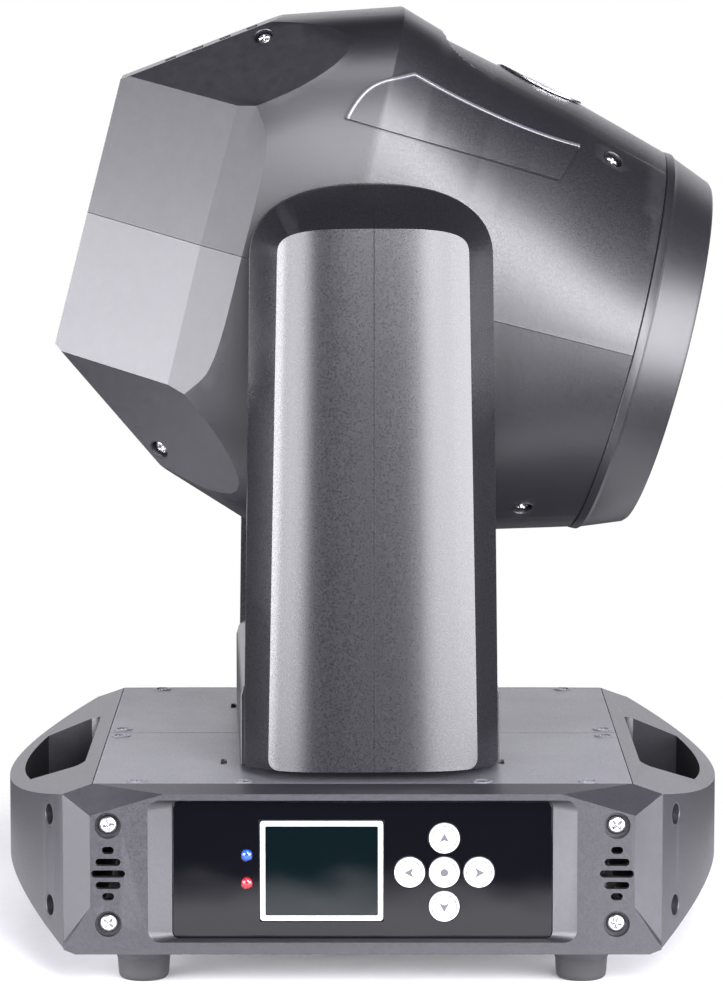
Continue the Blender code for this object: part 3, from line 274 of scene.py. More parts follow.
SLOT_MATERIALS = {
    "casing": CASING, "deck": DECK_PAINT, "trim": TRIM, "rubber": RUBBER, "steel": ZINC,
    "bearing_steel": BEARING, "aluminium": ALUMINIUM, "gloss_panel": PANEL, "screen_frame": WHITE,
    "white_plastic": WHITE, "blue_lens": BLUE, "red_lens": RED, "circuit_board": BOARD,
    "black_plastic": BLACK, "lens_glass": GLASS, "badge_metal": BADGE,
}


# ---- outlines and meshes

def arc(centre, radius, start, end, steps):
    """Points on an arc, both ends included; angles in degrees."""
    points = []
    for step in range(steps + 1):
        angle = math.radians(start + (end - start) * step / steps)
        points.append((centre[0] + radius * math.cos(angle), centre[1] + radius * math.sin(angle)))
    return points


def rounded_rectangle(x0, x1, y0, y1, radius, steps=6):
    """A rectangle with round corners, counter-clockwise."""
    corners = ((x1 - radius, y1 - radius, 0), (x0 + radius, y1 - radius, 90),
               (x0 + radius, y0 + radius, 180), (x1 - radius, y0 + radius, 270))
    points = []
    for x, y, start in corners:
        points += arc((x, y), radius, start, start + 90, steps)
    return points


def slot_outline(x, y, length, height, steps=8):
    """A slot with round ends, long in its first direction."""
    radius = height / 2
    reach = length / 2 - radius
    return (arc((x + reach, y), radius, -90, 90, steps)
            + arc((x - reach, y), radius, 90, 270, steps))


def add_box(bm, low, high):
    """Add a box given by two corners."""
    size = Vector(high) - Vector(low)
    centre = (Vector(high) + Vector(low)) / 2
    bmesh.ops.create_cube(bm, size=1.0, matrix=Matrix.LocRotScale(centre, None, size))


def add_cylinder(bm, radius, start, end, place, segments=40):
    """Add a capped cylinder along the local Z of a place."""
    middle = place @ Matrix.Translation((0, 0, (start + end) / 2))
    bmesh.ops.create_cone(bm, cap_ends=True, segments=segments, radius1=radius, radius2=radius,
                          depth=abs(end - start), matrix=middle)


def add_prism(bm, outline, start, end, upright=True):
    """Extrude a flat outline along Z, or along Y if it isn't upright."""
    face = bm.faces.new([bm.verts.new((x, y, start) if upright else (x, start, y)) for x, y in outline])
    top = bmesh.ops.extrude_face_region(bm, geom=[face])
    moved = [item for item in top["geom"] if isinstance(item, bmesh.types.BMVert)]
    reach = end - start
    bmesh.ops.translate(bm, verts=moved, vec=(0, 0, reach) if upright else (0, reach, 0))


def skin(bm, rows, closed):
    """Fill the faces between rows of vertices, which may close on themselves."""
    count = len(rows[0])
    for low, high in zip(rows, rows[1:]):
        for i in range(count if closed else count - 1):
            j = (i + 1) % count
            bm.faces.new((low[i], low[j], high[j], high[i]))


def add_loft(bm, rings, capped=True):
    """Skin a row of closed rings with the same number of points, and return the ring vertices."""
    rows = [[bm.verts.new(point) for point in ring] for ring in rings]
    skin(bm, rows, True)
    if capped:
        bm.faces.new(rows[0])
        bm.faces.new(rows[-1])
    return rows


def face_out(bm, axis, sign):
    """Make the faces of an open sheet agree, and look to one side along an axis."""
    bmesh.ops.recalc_face_normals(bm, faces=bm.faces[:])
    if sum(face.normal[axis] for face in bm.faces) * sign < 0:
        bmesh.ops.reverse_faces(bm, faces=bm.faces[:])


def turned_piece(name, profile, segments, spin, *look, **more):
    """Spin a profile of (radius, height) points round local Z. A ring if it stays off the axis."""
    closed = min(radius for radius, _ in profile) > 0
    bm = bmesh.new()
    rows = []
    for radius, height in profile:
        if radius == 0:
            rows.append([bm.verts.new((0, 0, height))])
            continue
        row = []
        for step in range(segments):
            angle = 2 * math.pi * step / segments
            row.append(bm.verts.new((radius * math.cos(angle), radius * math.sin(angle), height)))
        rows.append(row)
    pairs = list(zip(rows, rows[1:]))
    if closed:
        pairs.append((rows[-1], rows[0]))
    for first, second in pairs:
        for i in range(segments):
            j = (i + 1) % segments
            if len(first) == 1:
                bm.faces.new((first[0], second[i], second[j]))
            elif len(second) == 1:
                bm.faces.new((first[i], second[0], first[j]))
            else:
                bm.faces.new((first[i], second[i], second[j], first[j]))
    bmesh.ops.transform(bm, matrix=spin, verts=bm.verts[:])
    return piece(name, bm, *look, **more)


def slice_off(bm, point, normal, fill=True):
    """Cut away everything on the normal's side of a plane, and close the cut."""
    cut = bmesh.ops.bisect_plane(bm, geom=bm.verts[:] + bm.edges[:] + bm.faces[:], dist=1e-5,
                                 plane_co=Vector(point), plane_no=Vector(normal).normalized(),
                                 clear_outer=True)
    edges = [item for item in cut["geom_cut"] if isinstance(item, bmesh.types.BMEdge)]
    if fill and edges:
        bmesh.ops.edgeloop_fill(bm, edges=edges)


def to_mesh(name, bm, sharp_deg=32.0, normals=True):
    """A smooth-shaded mesh in metres from a bmesh in millimetres."""
    if normals:
        bmesh.ops.recalc_face_normals(bm, faces=bm.faces[:])
    bmesh.ops.scale(bm, vec=(MM, MM, MM), verts=bm.verts[:])
    mesh = bpy.data.meshes.new(name)
    bm.to_mesh(mesh)
    bm.free()
    mesh.shade_smooth()
    if sharp_deg:
        mesh.set_sharp_from_angle(angle=math.radians(sharp_deg))
    return mesh


def box_piece(name, low, high, finish, slot, width, segments):
    """A box on the base with softened edges."""
    bm = bmesh.new()
    add_box(bm, low, high)
    bevel(piece(name, bm, finish, "base", slot), width, segments)


def piece(name, bm, finish, body, slot, place=BASE, replaces=None, sharp_deg=32.0, normals=True):
    """Make an object from a bmesh, put it in place and let it ride on its body."""
    mesh = to_mesh(name, bm, sharp_deg, normals)
    mesh.transform(place)
    mesh.materials.append(finish)
    obj = bpy.data.objects.new(name, mesh)
    bpy.context.scene.collection.objects.link(obj)
    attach(obj, body)
    if replaces:
        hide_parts(replaces)
    return obj


def bevel(obj, width, segments=3, angle=28.0):
    """Round an object's edges, keeping its flats flat."""
    modifier = obj.modifiers.new("rounded_edges", "BEVEL")
    modifier.width = width * MM
    modifier.segments = segments
    modifier.limit_method = "ANGLE"
    modifier.angle_limit = math.radians(angle)
    modifier.harden_normals = True


def solidify(obj, thickness, offset=-1):
    """Give a surface a wall."""
    modifier = obj.modifiers.new("wall", "SOLIDIFY")
    modifier.thickness = thickness * MM
    modifier.offset = offset
    modifier.use_even_offset = True


def carve(obj, bm, place=BASE):
    """Cut a bmesh out of an object and apply the cut, so no cutter is left."""
    bpy.context.view_layer.update()
    cutter = bpy.data.objects.new("cutter", to_mesh("cutter", bm, 0))
    bpy.context.scene.collection.objects.link(cutter)
    cutter.matrix_world = place
    modifier = obj.modifiers.new("cut", "BOOLEAN")
    modifier.operation = "DIFFERENCE"
    modifier.solver = "EXACT"
    modifier.object = cutter
    bpy.context.view_layer.update()
    done = bpy.data.meshes.new_from_object(obj.evaluated_get(bpy.context.evaluated_depsgraph_get()))
    obj.modifiers.clear()
    old = obj.data
    obj.data = done
    bpy.data.meshes.remove(old)
    bpy.data.objects.remove(cutter)


def towards(direction, origin):
    """A frame at origin whose local Z points along a direction."""
    turn = Vector((0, 0, 1)).rotation_difference(Vector(direction).normalized())
    return Matrix.Translation(origin) @ turn.to_matrix().to_4x4()


def metres(matrix):
    """A placement whose translation is in millimetres, in metres."""
    made = matrix.copy()
    made.translation = matrix.translation * MM
    return made


def dress_cad_node(name, finish, width=0.4):
    """Give a kept CAD node its material, welded vertices and softened edges."""
    obj = NODES[name]
    obj.data.materials.clear()
    obj.data.materials.append(finish)
    if "custom_normal" in obj.data.attributes:
        obj.data.attributes.remove(obj.data.attributes["custom_normal"])
    obj.data.shade_smooth()
    weld = obj.modifiers.new("weld", "WELD")
    weld.merge_threshold = 1e-6
    bevel(obj, width, 2, 30.0)


# ---- screws

def pan_screw(name, radius, place, body, finish=NICKEL, world=BASE):
    """A cross-recessed pan-head screw, its head rising along local Z of its place."""
    height = radius * 0.62
    profile = [(0, height)]
    for step in range(1, 7):
        angle = math.radians(90 * step / 6)
        profile.append((radius * math.sin(angle), height * (0.35 + 0.65 * math.cos(angle))))
    profile += [(radius, 0), (radius * 0.5, 0), (radius * 0.5, -radius), (0, -radius)]
    spot = world @ metres(place)
    obj = turned_piece(name, profile, 36, BASE, finish, body, "steel", spot)
    bm = bmesh.new()
    arm = radius * 0.62
    width = radius * 0.13
    cross = [(width, width), (arm, width), (arm, -width)]
    for _ in range(3):
        cross += [(y, -x) for x, y in cross[-3:]]
    add_prism(bm, cross, height * 0.35, height * 1.6)
    carve(obj, bm, spot)
    obj.data.materials.clear()
    obj.data.materials.append(finish)


def recessed_screw(name, radius, place, body, finish, depth=5.0, wall=1.1, world=BASE, head=NICKEL):
    """A cup that lines a screw hole, with the screw at its bottom."""
    rim = radius - 0.15
    profile = [(0, -depth), (rim - wall, -depth), (rim - wall, -0.5), (rim - wall + 0.3, -0.1),
               (rim, -0.1), (rim, -depth - 1.5), (0, -depth - 1.5)]
    turned_piece(name + "_cup", profile, 40, BASE, finish, body, "casing", world @ metres(place))
    bottom = place @ Matrix.Translation((0, 0, -depth))
    pan_screw(name, (rim - wall) * 0.86, bottom, body, head, world)


# ---- base

DECK_TOP = node_box("front_deck_plate")[1].z
BEZEL_FRONT = -node_box("front_bezel")[0].y
BEZEL_BACK = -node_box("front_bezel")[1].y
PANEL_FACE = -node_box("display_panel")[0].y
REACH = node_box("right_handle_casing")[1].x
SEAM_X = 150.0
DECK_HALF_X = 135.0
VENT_X = 126.5
VENTS = ((73.3, 6.0), (67.3, 12.5), (61.4, 17.0), (55.6, 12.5), (49.9, 6.0))
BEZEL_SCREW_Z = (85.7, 36.0)
BEZEL_SCREW_SUNK = 4.4
WINDOW_BACK = (-95.0, 95.0, 27.0, 96.6, 3.5)
WINDOW_FRONT = (-106.7, 106.7, 26.6, 98.5, 6.0)
HANDLE_BOTTOM = 20.0
RECESS_X = 143.5
RECESS_Y = 74.0
RECESS_CORNER = 8.0
HANDLE_WALL = 8.0
HANDLE_SCREW_Y = 132.0
HANDLE_SCREW_Z = (85.6, 39.0)
HANDLE_SCREW_RADIUS = 6.5
CORNERS = [(side, end) for side in SIDES for end in SIDES]
DECK_SCREWS = [(side * x, end * y) for x, y in ((113, 142), (128, 10), (60, 142)) for side, end in CORNERS]
CABLE_SLOT = (71.0, 86.0)


def handle_x(y, inset=0.0):
    """Outer edge of a handle casing in plan."""
    rise = REACH - SEAM_X
    radius = (BEZEL_BACK ** 2 + rise ** 2) / (2 * rise)
    return REACH - radius + math.sqrt((radius - inset) ** 2 - y ** 2)


def handle_outline(side, end_y, inner_x, wall):
    """Plan outline of a handle casing or of the space inside it."""
    steps = 60
    points = [(side * inner_x, -end_y)]
    for step in range(steps + 1):
        y = -end_y + 2 * end_y * step / steps
        points.append((side * handle_x(y, wall), y))
    return points + [(side * inner_x, end_y)]


def handle_casing(label, side):
    """A handle casing with its carrying recess, rounded rim and side screws."""
    bm = bmesh.new()
    outline = handle_outline(side, BEZEL_BACK - 0.5, DECK_HALF_X + 0.3, 0.0)
    add_prism(bm, outline, HANDLE_BOTTOM, DECK_TOP + 10)
    slice_off(bm, (side * DECK_HALF_X, 0, DECK_TOP), (side * 0.355, 0, 1))
    slice_off(bm, (side * REACH, 0, 46.0), (side * 26.0, 0, -37.0))
    obj = piece(f"{label}_handle_shell", bm, BASE_CASING, "base", "casing",
                replaces=f"{label}_handle_casing")

    x = RECESS_X + RECESS_CORNER
    y = RECESS_Y - RECESS_CORNER
    outline = [(side * x, y) for x, y in arc((x, y), RECESS_CORNER, 110, 180, 8)
               + arc((x, -y), RECESS_CORNER, 180, 250, 8)]
    for step in range(25):
        y = -65.0 + 130.0 * step / 24
        outline.append((side * handle_x(y, HANDLE_WALL), y))
    bm = bmesh.new()
    add_prism(bm, outline, 40.0, DECK_TOP + 20)
    carve(obj, bm)
    for end in SIDES:
        y = end * HANDLE_SCREW_Y
        outward = Vector((side * (handle_x(y) - REACH + 314.5), y, 0))
        for level, z in enumerate(HANDLE_SCREW_Z):
            place = towards(outward, Vector((side * handle_x(y), y, z)))
            bm = bmesh.new()
            add_cylinder(bm, HANDLE_SCREW_RADIUS, -7.0, 6.0, place)
            carve(obj, bm)
            recessed_screw(f"{label}_handle_screw_{(end + 1) // 2}{level}", HANDLE_SCREW_RADIUS, place,
                           "base", BASE_CASING, 6.0, head=DARK_STEEL)
    bevel(obj, 1.6, 4, 30.0)


def bezel(label, facing):
    """A bezel with its sloped window, vents and screw bosses."""
    front_half = [(99.0, 101.6), (135.5, 90.7), (135.5, 44.7), (149.0, 23.0), (143.0, 20.6)]
    back_half = [(134.5, 104.0), (150.0, 98.7), (150.0, 23.5), (150.0, 21.5), (144.0, 20.0)]
    rings = []
    for half, y in ((front_half, BEZEL_FRONT), (back_half, BEZEL_BACK)):
        loop = half + [(-x, z) for x, z in reversed(half)]
        rings.append([(x, facing * y, z) for x, z in loop])
    bm = bmesh.new()
    add_loft(bm, rings)
    obj = piece(f"{label}_bezel_shell", bm, BASE_CASING, "base", "casing",
                replaces=f"{label}_bezel", sharp_deg=20)
    bm = bmesh.new()
    inner = rounded_rectangle(*WINDOW_BACK)
    outer = rounded_rectangle(*WINDOW_FRONT)
    depths = (BEZEL_BACK - 1, PANEL_FACE, BEZEL_FRONT + 0.001, BEZEL_FRONT + 1)
    add_loft(bm, [[(x, facing * depth, z) for x, z in ring]
                  for ring, depth in zip((inner, inner, outer, outer), depths)])
    carve(obj, bm)
    bm = bmesh.new()
    for side in SIDES:
        xs = sorted((side * 112.0, side * 137.0))
        ys = sorted((facing * (BEZEL_BACK - 1), facing * 160.0))
        add_box(bm, (xs[0], ys[0], 46.0), (xs[1], ys[1], 77.0))
    carve(obj, bm)
    bm = bmesh.new()
    for side in SIDES:
        for z, width in VENTS:
            add_prism(bm, slot_outline(side * VENT_X, z, width, 3.7), facing * (BEZEL_FRONT + 2),
                      facing * 155.0, upright=False)
    carve(obj, bm)
    bm = bmesh.new()
    for side in SIDES:
        for z in BEZEL_SCREW_Z:
            place = towards((0, facing, 0), (side * VENT_X, facing * BEZEL_FRONT, z))
            add_cylinder(bm, 6.6, -4.5, 3.0, place)
    carve(obj, bm)
    bevel(obj, 0.7, 3, 24.0)
    for side in SIDES:
        for level, z in enumerate(BEZEL_SCREW_Z):
            spot = (side * VENT_X, facing * (BEZEL_FRONT - BEZEL_SCREW_SUNK), z)
            turn = Matrix.Rotation(math.radians(25 + 40 * level + 15 * side), 4, "Z")
            pan_screw(f"{label}_bezel_screw_{(side + 1) // 2}{level}", 4.8,
                      towards((0, facing, 0), spot) @ turn, "base")


def foot(name):
    """A moulded rubber foot with a rounded sole and a moulding ring."""
    low, high = node_box(name)
    centre = (low + high) / 2
    top = high.z
    profile = [(0, top), (14.2, top), (14.25, top - 2), (13.4, top - 8), (13.7, top - 8.6),
               (13.3, top - 9.4), (12.8, 3.0), (12.4, 1.0), (11.4, 0.0), (5.0, 0.0), (4.6, 0.4),
               (4.6, 5.0), (0, 5.0)]
    turned_piece(name + "_rubber", profile, 56, Matrix.Translation((centre.x, centre.y, 0)), RUBBER,
                 "base", "rubber", replaces=name, sharp_deg=50)


def deck_screws():
    """Low countersunk screws along the deck's edges."""
    for count, (x, y) in enumerate(DECK_SCREWS):
        place = Matrix.Translation((x, y, DECK_TOP - 1.6))
        turn = Matrix.Rotation(math.radians(count * 37), 4, "Z")
        pan_screw(f"deck_screw_{count}", 3.2, place @ turn, "base")


def deck_washers():
    """Dished rings round the deck screws."""
    profile = [(3.3, 0.05), (3.7, 0.35), (4.6, 0.35), (5.0, 0.05), (5.0, -0.2), (3.3, -0.2)]
    for count, (x, y) in enumerate(DECK_SCREWS):
        turned_piece(f"deck_ring_{count}", profile, 36, Matrix.Translation((x, y, DECK_TOP + 0.2)),
                     DECK_PAINT, "base", "deck")


def slot_shade_boxes():
    """Dark boxes under the deck's cable slots: painted shade that stands for the dark inside the slots."""
    for side, end in CORNERS:
        x = side * CABLE_SLOT[0]
        y = end * CABLE_SLOT[1]
        box_piece(f"slot_shade_box_{(side + 1) // 2}{(end + 1) // 2}", (x - 1.8, y - 8.5, DECK_TOP - 12.0),
                  (x + 1.8, y + 8.5, DECK_TOP - 1.7), BLACK, "black_plastic", 0.2, 2)


def screen():
    """The screen: a raised white frame round dark glass."""
    low, high = node_box("lcd_screen")
    outer = rounded_rectangle(low.x, high.x, low.z, high.z, 1.6)
    inner = rounded_rectangle(low.x + 2.5, high.x - 2.5, low.z + 2.6, high.z - 2.6, 0.8)
    face = low.y
    bm = bmesh.new()
    rings = [[(x, y, z) for x, z in ring] for ring, y in
             ((outer, face + 3), (outer, face + 0.15), (inner, face + 0.0), (inner, face + 3))]
    rows = add_loft(bm, rings, False)
    skin(bm, (rows[-1], rows[0]), True)
    surround = piece("screen_frame", bm, WHITE, "base", "screen_frame", replaces="lcd_screen")
    bevel(surround, 0.25, 2, 30.0)
    bm = bmesh.new()
    glass = rounded_rectangle(low.x + 2.6, high.x - 2.6, low.z + 2.7, high.z - 2.7, 0.7)
    add_prism(bm, glass, face + 0.7, face + 3.0, upright=False)
    bevel(piece("screen_glass", bm, SCREEN_GLASS, "base", "gloss_panel"), 0.2, 2, 30.0)
    box_piece("screen_module", (low.x + 3, face + 3.4, low.z + 3), (high.x - 3, high.y, high.z - 3),
              BLACK, "black_plastic", 0.4, 2)


def indicator(name, finish, slot):
    """A domed indicator lens with a thin flange."""
    low, high = node_box(name)
    centre = (low + high) / 2
    radius = (high.x - low.x) / 2
    face = -PANEL_FACE - 0.1
    profile = [(0, 1.25)]
    for step in range(1, 9):
        angle = math.radians(90 * step / 8)
        profile.append((radius * 0.86 * math.sin(angle), 0.15 + 1.1 * math.cos(angle)))
    profile += [(radius, 0.1), (radius, -0.2), (radius, -3.5), (0, -3.5)]
    turned_piece(name + "_lens", profile, 40, towards((0, -1, 0), (centre.x, face, centre.z)), finish,
                 "base", slot, replaces=name, sharp_deg=40)


def key(direction, heading):
    """A round key with a ring groove, and its printed arrow or dot."""
    name = f"{direction}_button"
    low, high = node_box(name)
    centre = (low + high) / 2
    radius = (high.x - low.x) / 2 - 0.15
    face = low.y
    depth = high.y - face
    profile = [(0, -0.25), (5.7, -0.25), (5.9, -0.1), (6.9, -0.06), (7.2, -0.15), (radius - 0.1, -0.4),
               (radius, -0.8), (radius, -3.6), (3.0, -3.6), (3.0, -depth), (0, -depth)]
    place = towards((0, -1, 0), (centre.x, face, centre.z))
    turned_piece(f"{direction}_key", profile, 64, place, WHITE, name, "white_plastic", replaces=name,
                 sharp_deg=40)
    bm = bmesh.new()
    if heading is None:
        outline = arc((0, 0), 2.0, 0, 345, 23)
    else:
        turn = math.radians(heading)
        shape = [(-2.6, -2.0), (0, 2.8), (2.6, -2.0), (0, -0.9)]
        outline = [(x * math.cos(turn) - y * math.sin(turn), x * math.sin(turn) + y * math.cos(turn))
                   for x, y in shape]
    points = [(centre.x + x, centre.z + z) for x, z in outline]
    add_prism(bm, points, face + 0.17, face + 0.6, upright=False)
    piece(f"{direction}_key_mark", bm, GREY_MARK, name, "trim")
    profile = [(5.95, 0.0), (6.45, 0.0), (6.45, -0.5), (5.95, -0.5)]
    turned_piece(f"{direction}_key_ring", profile, 64, place, GREY_MARK, name, "trim")


def connector_details():
    """Pins inside the rear sockets."""
    low, high = node_box("power_inlet")
    middle = (low + high) / 2
    for index, (x, z) in enumerate(((-7, -1.5), (7, -1.5), (0, 3.0))):
        box_piece(f"inlet_pin_{index}", (middle.x + x - 1.0, 141.3, middle.z + z - 2.2),
                  (middle.x + x + 1.0, 154.0, middle.z + z + 2.2), NICKEL, "steel", 0.5, 3)
    low, high = node_box("dmx_input")
    middle = (low + high) / 2
    for index in range(3):
        angle = math.radians(90 + 120 * index)
        spot = (middle.x + 5 * math.cos(angle), 145.2, middle.z + 5 * math.sin(angle))
        profile = [(0, 9.0), (0.8, 8.7), (1.2, 8.0), (1.2, 0), (0, 0)]
        turned_piece(f"signal_pin_{index}", profile, 20, towards((0, 1, 0), spot), NICKEL, "base", "steel")
    for name in ("dmx_input", "dmx_output"):
        low, high = node_box(name)
        for index, (x, z) in enumerate(((low.x + 3, low.z + 3), (high.x - 3, high.z - 3))):
            place = towards((0, 1, 0), (x, high.y + 0.02, z))
            pan_screw(f"{name}_screw_{index}", 1.9, place, "base")


def build_base():
    """Replace and dress everything on the base."""
    for label, side in (("left", -1), ("right", 1)):
        handle_casing(label, side)
    for label, facing in (("front", -1), ("rear", 1)):
        bezel(label, facing)
    for row in ("front", "rear"):
        for side in ("left", "right"):
            foot(f"{row}_{side}_foot")
        dress_cad_node(f"{row}_deck_plate", DECK_PAINT, 0.5)
    deck_washers()
    deck_screws()
    # Painted shade: black boxes that fill the cable slots.
    slot_shade_boxes()
    dress_cad_node("display_panel", PANEL, 0.3)
    dress_cad_node("rear_panel", TRIM, 0.3)
    for name in ("power_inlet", "dmx_input", "dmx_output"):
        dress_cad_node(name, BLACK, 0.4)
    screen()
    indicator("signal_led", BLUE, "blue_lens")
    indicator("fault_led", RED, "red_lens")
    for direction, heading in (("up", 0), ("left", 90), ("down", 180), ("right", 270), ("enter", None)):
        key(direction, heading)
    connector_details()


# ---- yoke

ARM_BOTTOM = node_box("yoke_base_cover")[0].z
ARM_TOP = node_box("front_arm_outer_cover")[1].z
ARM_FACE = 147.0
ARM_CROWN = 9.0
ARM_INSIDE = 109.0
ARM_BEVEL = 116.5
SEAM_HALF = 0.35
SEAM_GROOVE = 0.45
PANEL_TOP = 381.0
PANEL_HALF_TOP = 47.6
PANEL_HALF_BOTTOM = 52.5
SIDE_FRACTIONS = [0.03, 0.10, 0.2, 0.32, 0.45, 0.58, 0.7, 0.8, 0.88, 0.95]
CENTRE_FRACTIONS = [0.0045, 0.011, 0.02]


def arm_fractions():
    """Positions across the panel from -1 to 1, close together at the centre seam."""
    half = CENTRE_FRACTIONS + SIDE_FRACTIONS + [1.0]
    return [-f for f in reversed(half)] + [0.0] + half


def arm_outline(half_top, half_bottom, bottom, top, shoulder, exponent, corner):
    """Closed outline of an arm in x and z: bottom row, right side, top row, left side."""
    fractions = arm_fractions()
    power = 2 / exponent
    last = math.radians(80)
    side = arc((half_bottom - corner, bottom + corner), corner, -90, 0, 6)[1:]
    rise = top - shoulder - bottom - corner
    for step in range(1, 12):
        share = step / 12
        side.append((half_bottom + (half_top - half_bottom) * share, bottom + corner + rise * share))
    for step in range(19):
        angle = last * step / 18
        side.append((half_top * math.cos(angle) ** power,
                     top - shoulder + shoulder * math.sin(angle) ** power))
    flat = half_bottom - corner
    bottom_row = [(flat * f, bottom) for f in fractions]
    edge = side[-1][0]
    top_row = []
    for f in reversed(fractions[1:-1]):
        x = edge * f
        z = top - shoulder + shoulder * (1 - (abs(x) / half_top) ** exponent) ** (1 / exponent)
        top_row.append((x, z))
    return bottom_row + side + top_row + [(-x, z) for x, z in reversed(side)]


def arm_cover(label, facing):
    """The outer cover of an arm: a deep bevel band round a crowned panel with a centre seam."""
    fractions = arm_fractions()
    columns = len(fractions) - 1
    outer = arm_outline(61.0, 64.4, ARM_BOTTOM, ARM_TOP, 38.0, 2.4, 5.0)
    softened = arm_outline(60.6, 64.0, ARM_BOTTOM + 0.5, ARM_TOP - 0.5, 38.0, 2.4, 5.0)
    panel = arm_outline(PANEL_HALF_TOP, PANEL_HALF_BOTTOM, ARM_BOTTOM + 3.5, PANEL_TOP, 16.0, 3.6, 5.0)

    def crown(x, z):
        rise = (z - ARM_BOTTOM) / (PANEL_TOP - ARM_BOTTOM)
        half = PANEL_HALF_BOTTOM + (PANEL_HALF_TOP - PANEL_HALF_BOTTOM) * rise
        share = min(1.0, abs(x) / half)
        depth = ARM_FACE - ARM_CROWN * share ** 4
        if abs(x) < SEAM_HALF:
            depth -= SEAM_GROOVE
        return facing * depth

    rings = [[(x, facing * ARM_INSIDE, z) for x, z in outer],
             [(x, facing * ARM_BEVEL, z) for x, z in outer],
             [(x, facing * (ARM_BEVEL + 2.0), z) for x, z in softened],
             [(x, crown(x, z), z) for x, z in panel]]
    bm = bmesh.new()
    edge = add_loft(bm, rings, False)[-1]
    count = len(edge)
    side_rows = (count - 2 * columns) // 2
    rows = [edge[:columns + 1]]
    for row in range(1, side_rows):
        right = edge[columns + row]
        left = edge[count - row]
        line = [left]
        for f in fractions[1:-1]:
            spot = left.co.lerp(right.co, (f + 1) / 2)
            line.append(bm.verts.new((spot.x, crown(spot.x, spot.z), spot.z)))
        rows.append(line + [right])
    top_start = columns + side_rows
    rows.append(list(reversed(edge[top_start:top_start + columns + 1])))
    skin(bm, rows, False)
    face_out(bm, 1, facing)
    obj = piece(f"{label}_arm_shell", bm, ARM_CASING, "yoke", "casing", YOKE,
                f"{label}_arm_outer_cover", 60.0, False)
    solidify(obj, 2.5)
    bevel(obj, 1.6, 4, 22.0)


def hinge_cap(label, facing):
    """The stepped collar between the arm and the head."""
    profile = [(24.5, 103.0), (34.0, 103.0), (35.0, 103.6), (35.0, 105.8), (24.5, 105.8)]
    turned_piece(f"{label}_yoke_collar", profile, 72, towards((0, facing, 0), (0, 0, TILT_Z)), CASING,
                 "yoke", "casing", YOKE)


def build_yoke():
    """Replace and dress everything on the yoke."""
    for label, facing in (("front", -1), ("rear", 1)):
        arm_cover(label, facing)
        hinge_cap(label, facing)
        dress_cad_node(f"{label}_arm_inner_cover", ARM_CASING, 0.8)
    dress_cad_node("yoke_base_cover", CASING, 0.6)


# ---- head

SEAM_U = 136.9
RIM_U = 165.3
REAR_U = -147.7
REAR_HALF_W = 46.5
REAR_HALF_V = 70.0
FACET_EDGE = (-88.0, 86.5)
FACET_FRONT = (-65.0, 96.5)
SLOPE_TOP = (-73.3, 122.5)
STRIP_ANGLE = 26.0
STRIP_REAR = 8.0
STRIP_FADE = 52.0
BARREL_REAR = -152.0
RIDGE_U = -15.0
HEAD_SCREW_RADIUS = 5.6
HEAD_SCREW_SUNK = 4.0
FLAT_SCREW = Vector((-80.6, 50.0, 107.0))
CASING_SCREW = (107.0, 93.0)
SHELL_WALL = 3.0
SPLIT_GAP = 0.15
BLADE_REAR = -32.0
BLADE_PEAK = -4.5
BLADE_TIP = 87.0
BADGE_U = 65.0
BADGE_RADIUS = 22.6
BADGE_DOME = 2.4
# u, height above the axis, depth of the top strip, half width, superellipse exponent
STATIONS = (
    (BARREL_REAR, 96.5, 0.0, 95.5, 3.3),
    (SLOPE_TOP[0], SLOPE_TOP[1], 0.0, 95.5, 3.8),
    (RIDGE_U, 141.7, 0.0, 98.0, 3.8),
    (6.0, 135.4, 2.8, 98.0, 3.6),
    (12.6, 133.4, 2.8, 98.2, 3.4),
    (38.5, 127.6, 2.6, 98.8, 2.8),
    (63.0, 122.5, 2.2, 99.8, 2.5),
    (87.7, 117.3, 1.7, 100.8, 2.3),
    (112.0, 110.2, 1.2, 101.6, 2.1),
    (SEAM_U, 102.6, 0.6, 102.0, 2.0),
)


def station(u):
    """Height, strip depth, half width and exponent at a place along the barrel."""
    for low, high in zip(STATIONS, STATIONS[1:]):
        if u <= high[0]:
            share = (u - low[0]) / (high[0] - low[0])
            return [a + (b - a) * share for a, b in zip(low[1:], high[1:])]
    return list(STATIONS[-1][1:])


def smooth_step(value):
    """Ease from 0 to 1."""
    value = max(0.0, min(1.0, value))
    return value * value * (3 - 2 * value)


CHAMFER_CORNER = Vector((REAR_U, REAR_HALF_W, REAR_HALF_V))
CHAMFER_EDGE = Vector((FACET_EDGE[0], FACET_EDGE[1], REAR_HALF_V)) - CHAMFER_CORNER
CHAMFER_CLIMB = Vector((SLOPE_TOP[0], REAR_HALF_W, SLOPE_TOP[1])) - CHAMFER_CORNER
CHAMFER = CHAMFER_CLIMB.cross(CHAMFER_EDGE).normalized()
CHAMFER *= math.copysign(1, CHAMFER.z)
DRAFT = 0.03


def soft_minimum(first, second, width):
    """The smaller of two values, blended over a width."""
    share = max(0.0, min(1.0, 0.5 + 0.5 * (second - first) / width))
    return second + (first - second) * share - width * share * (1 - share)


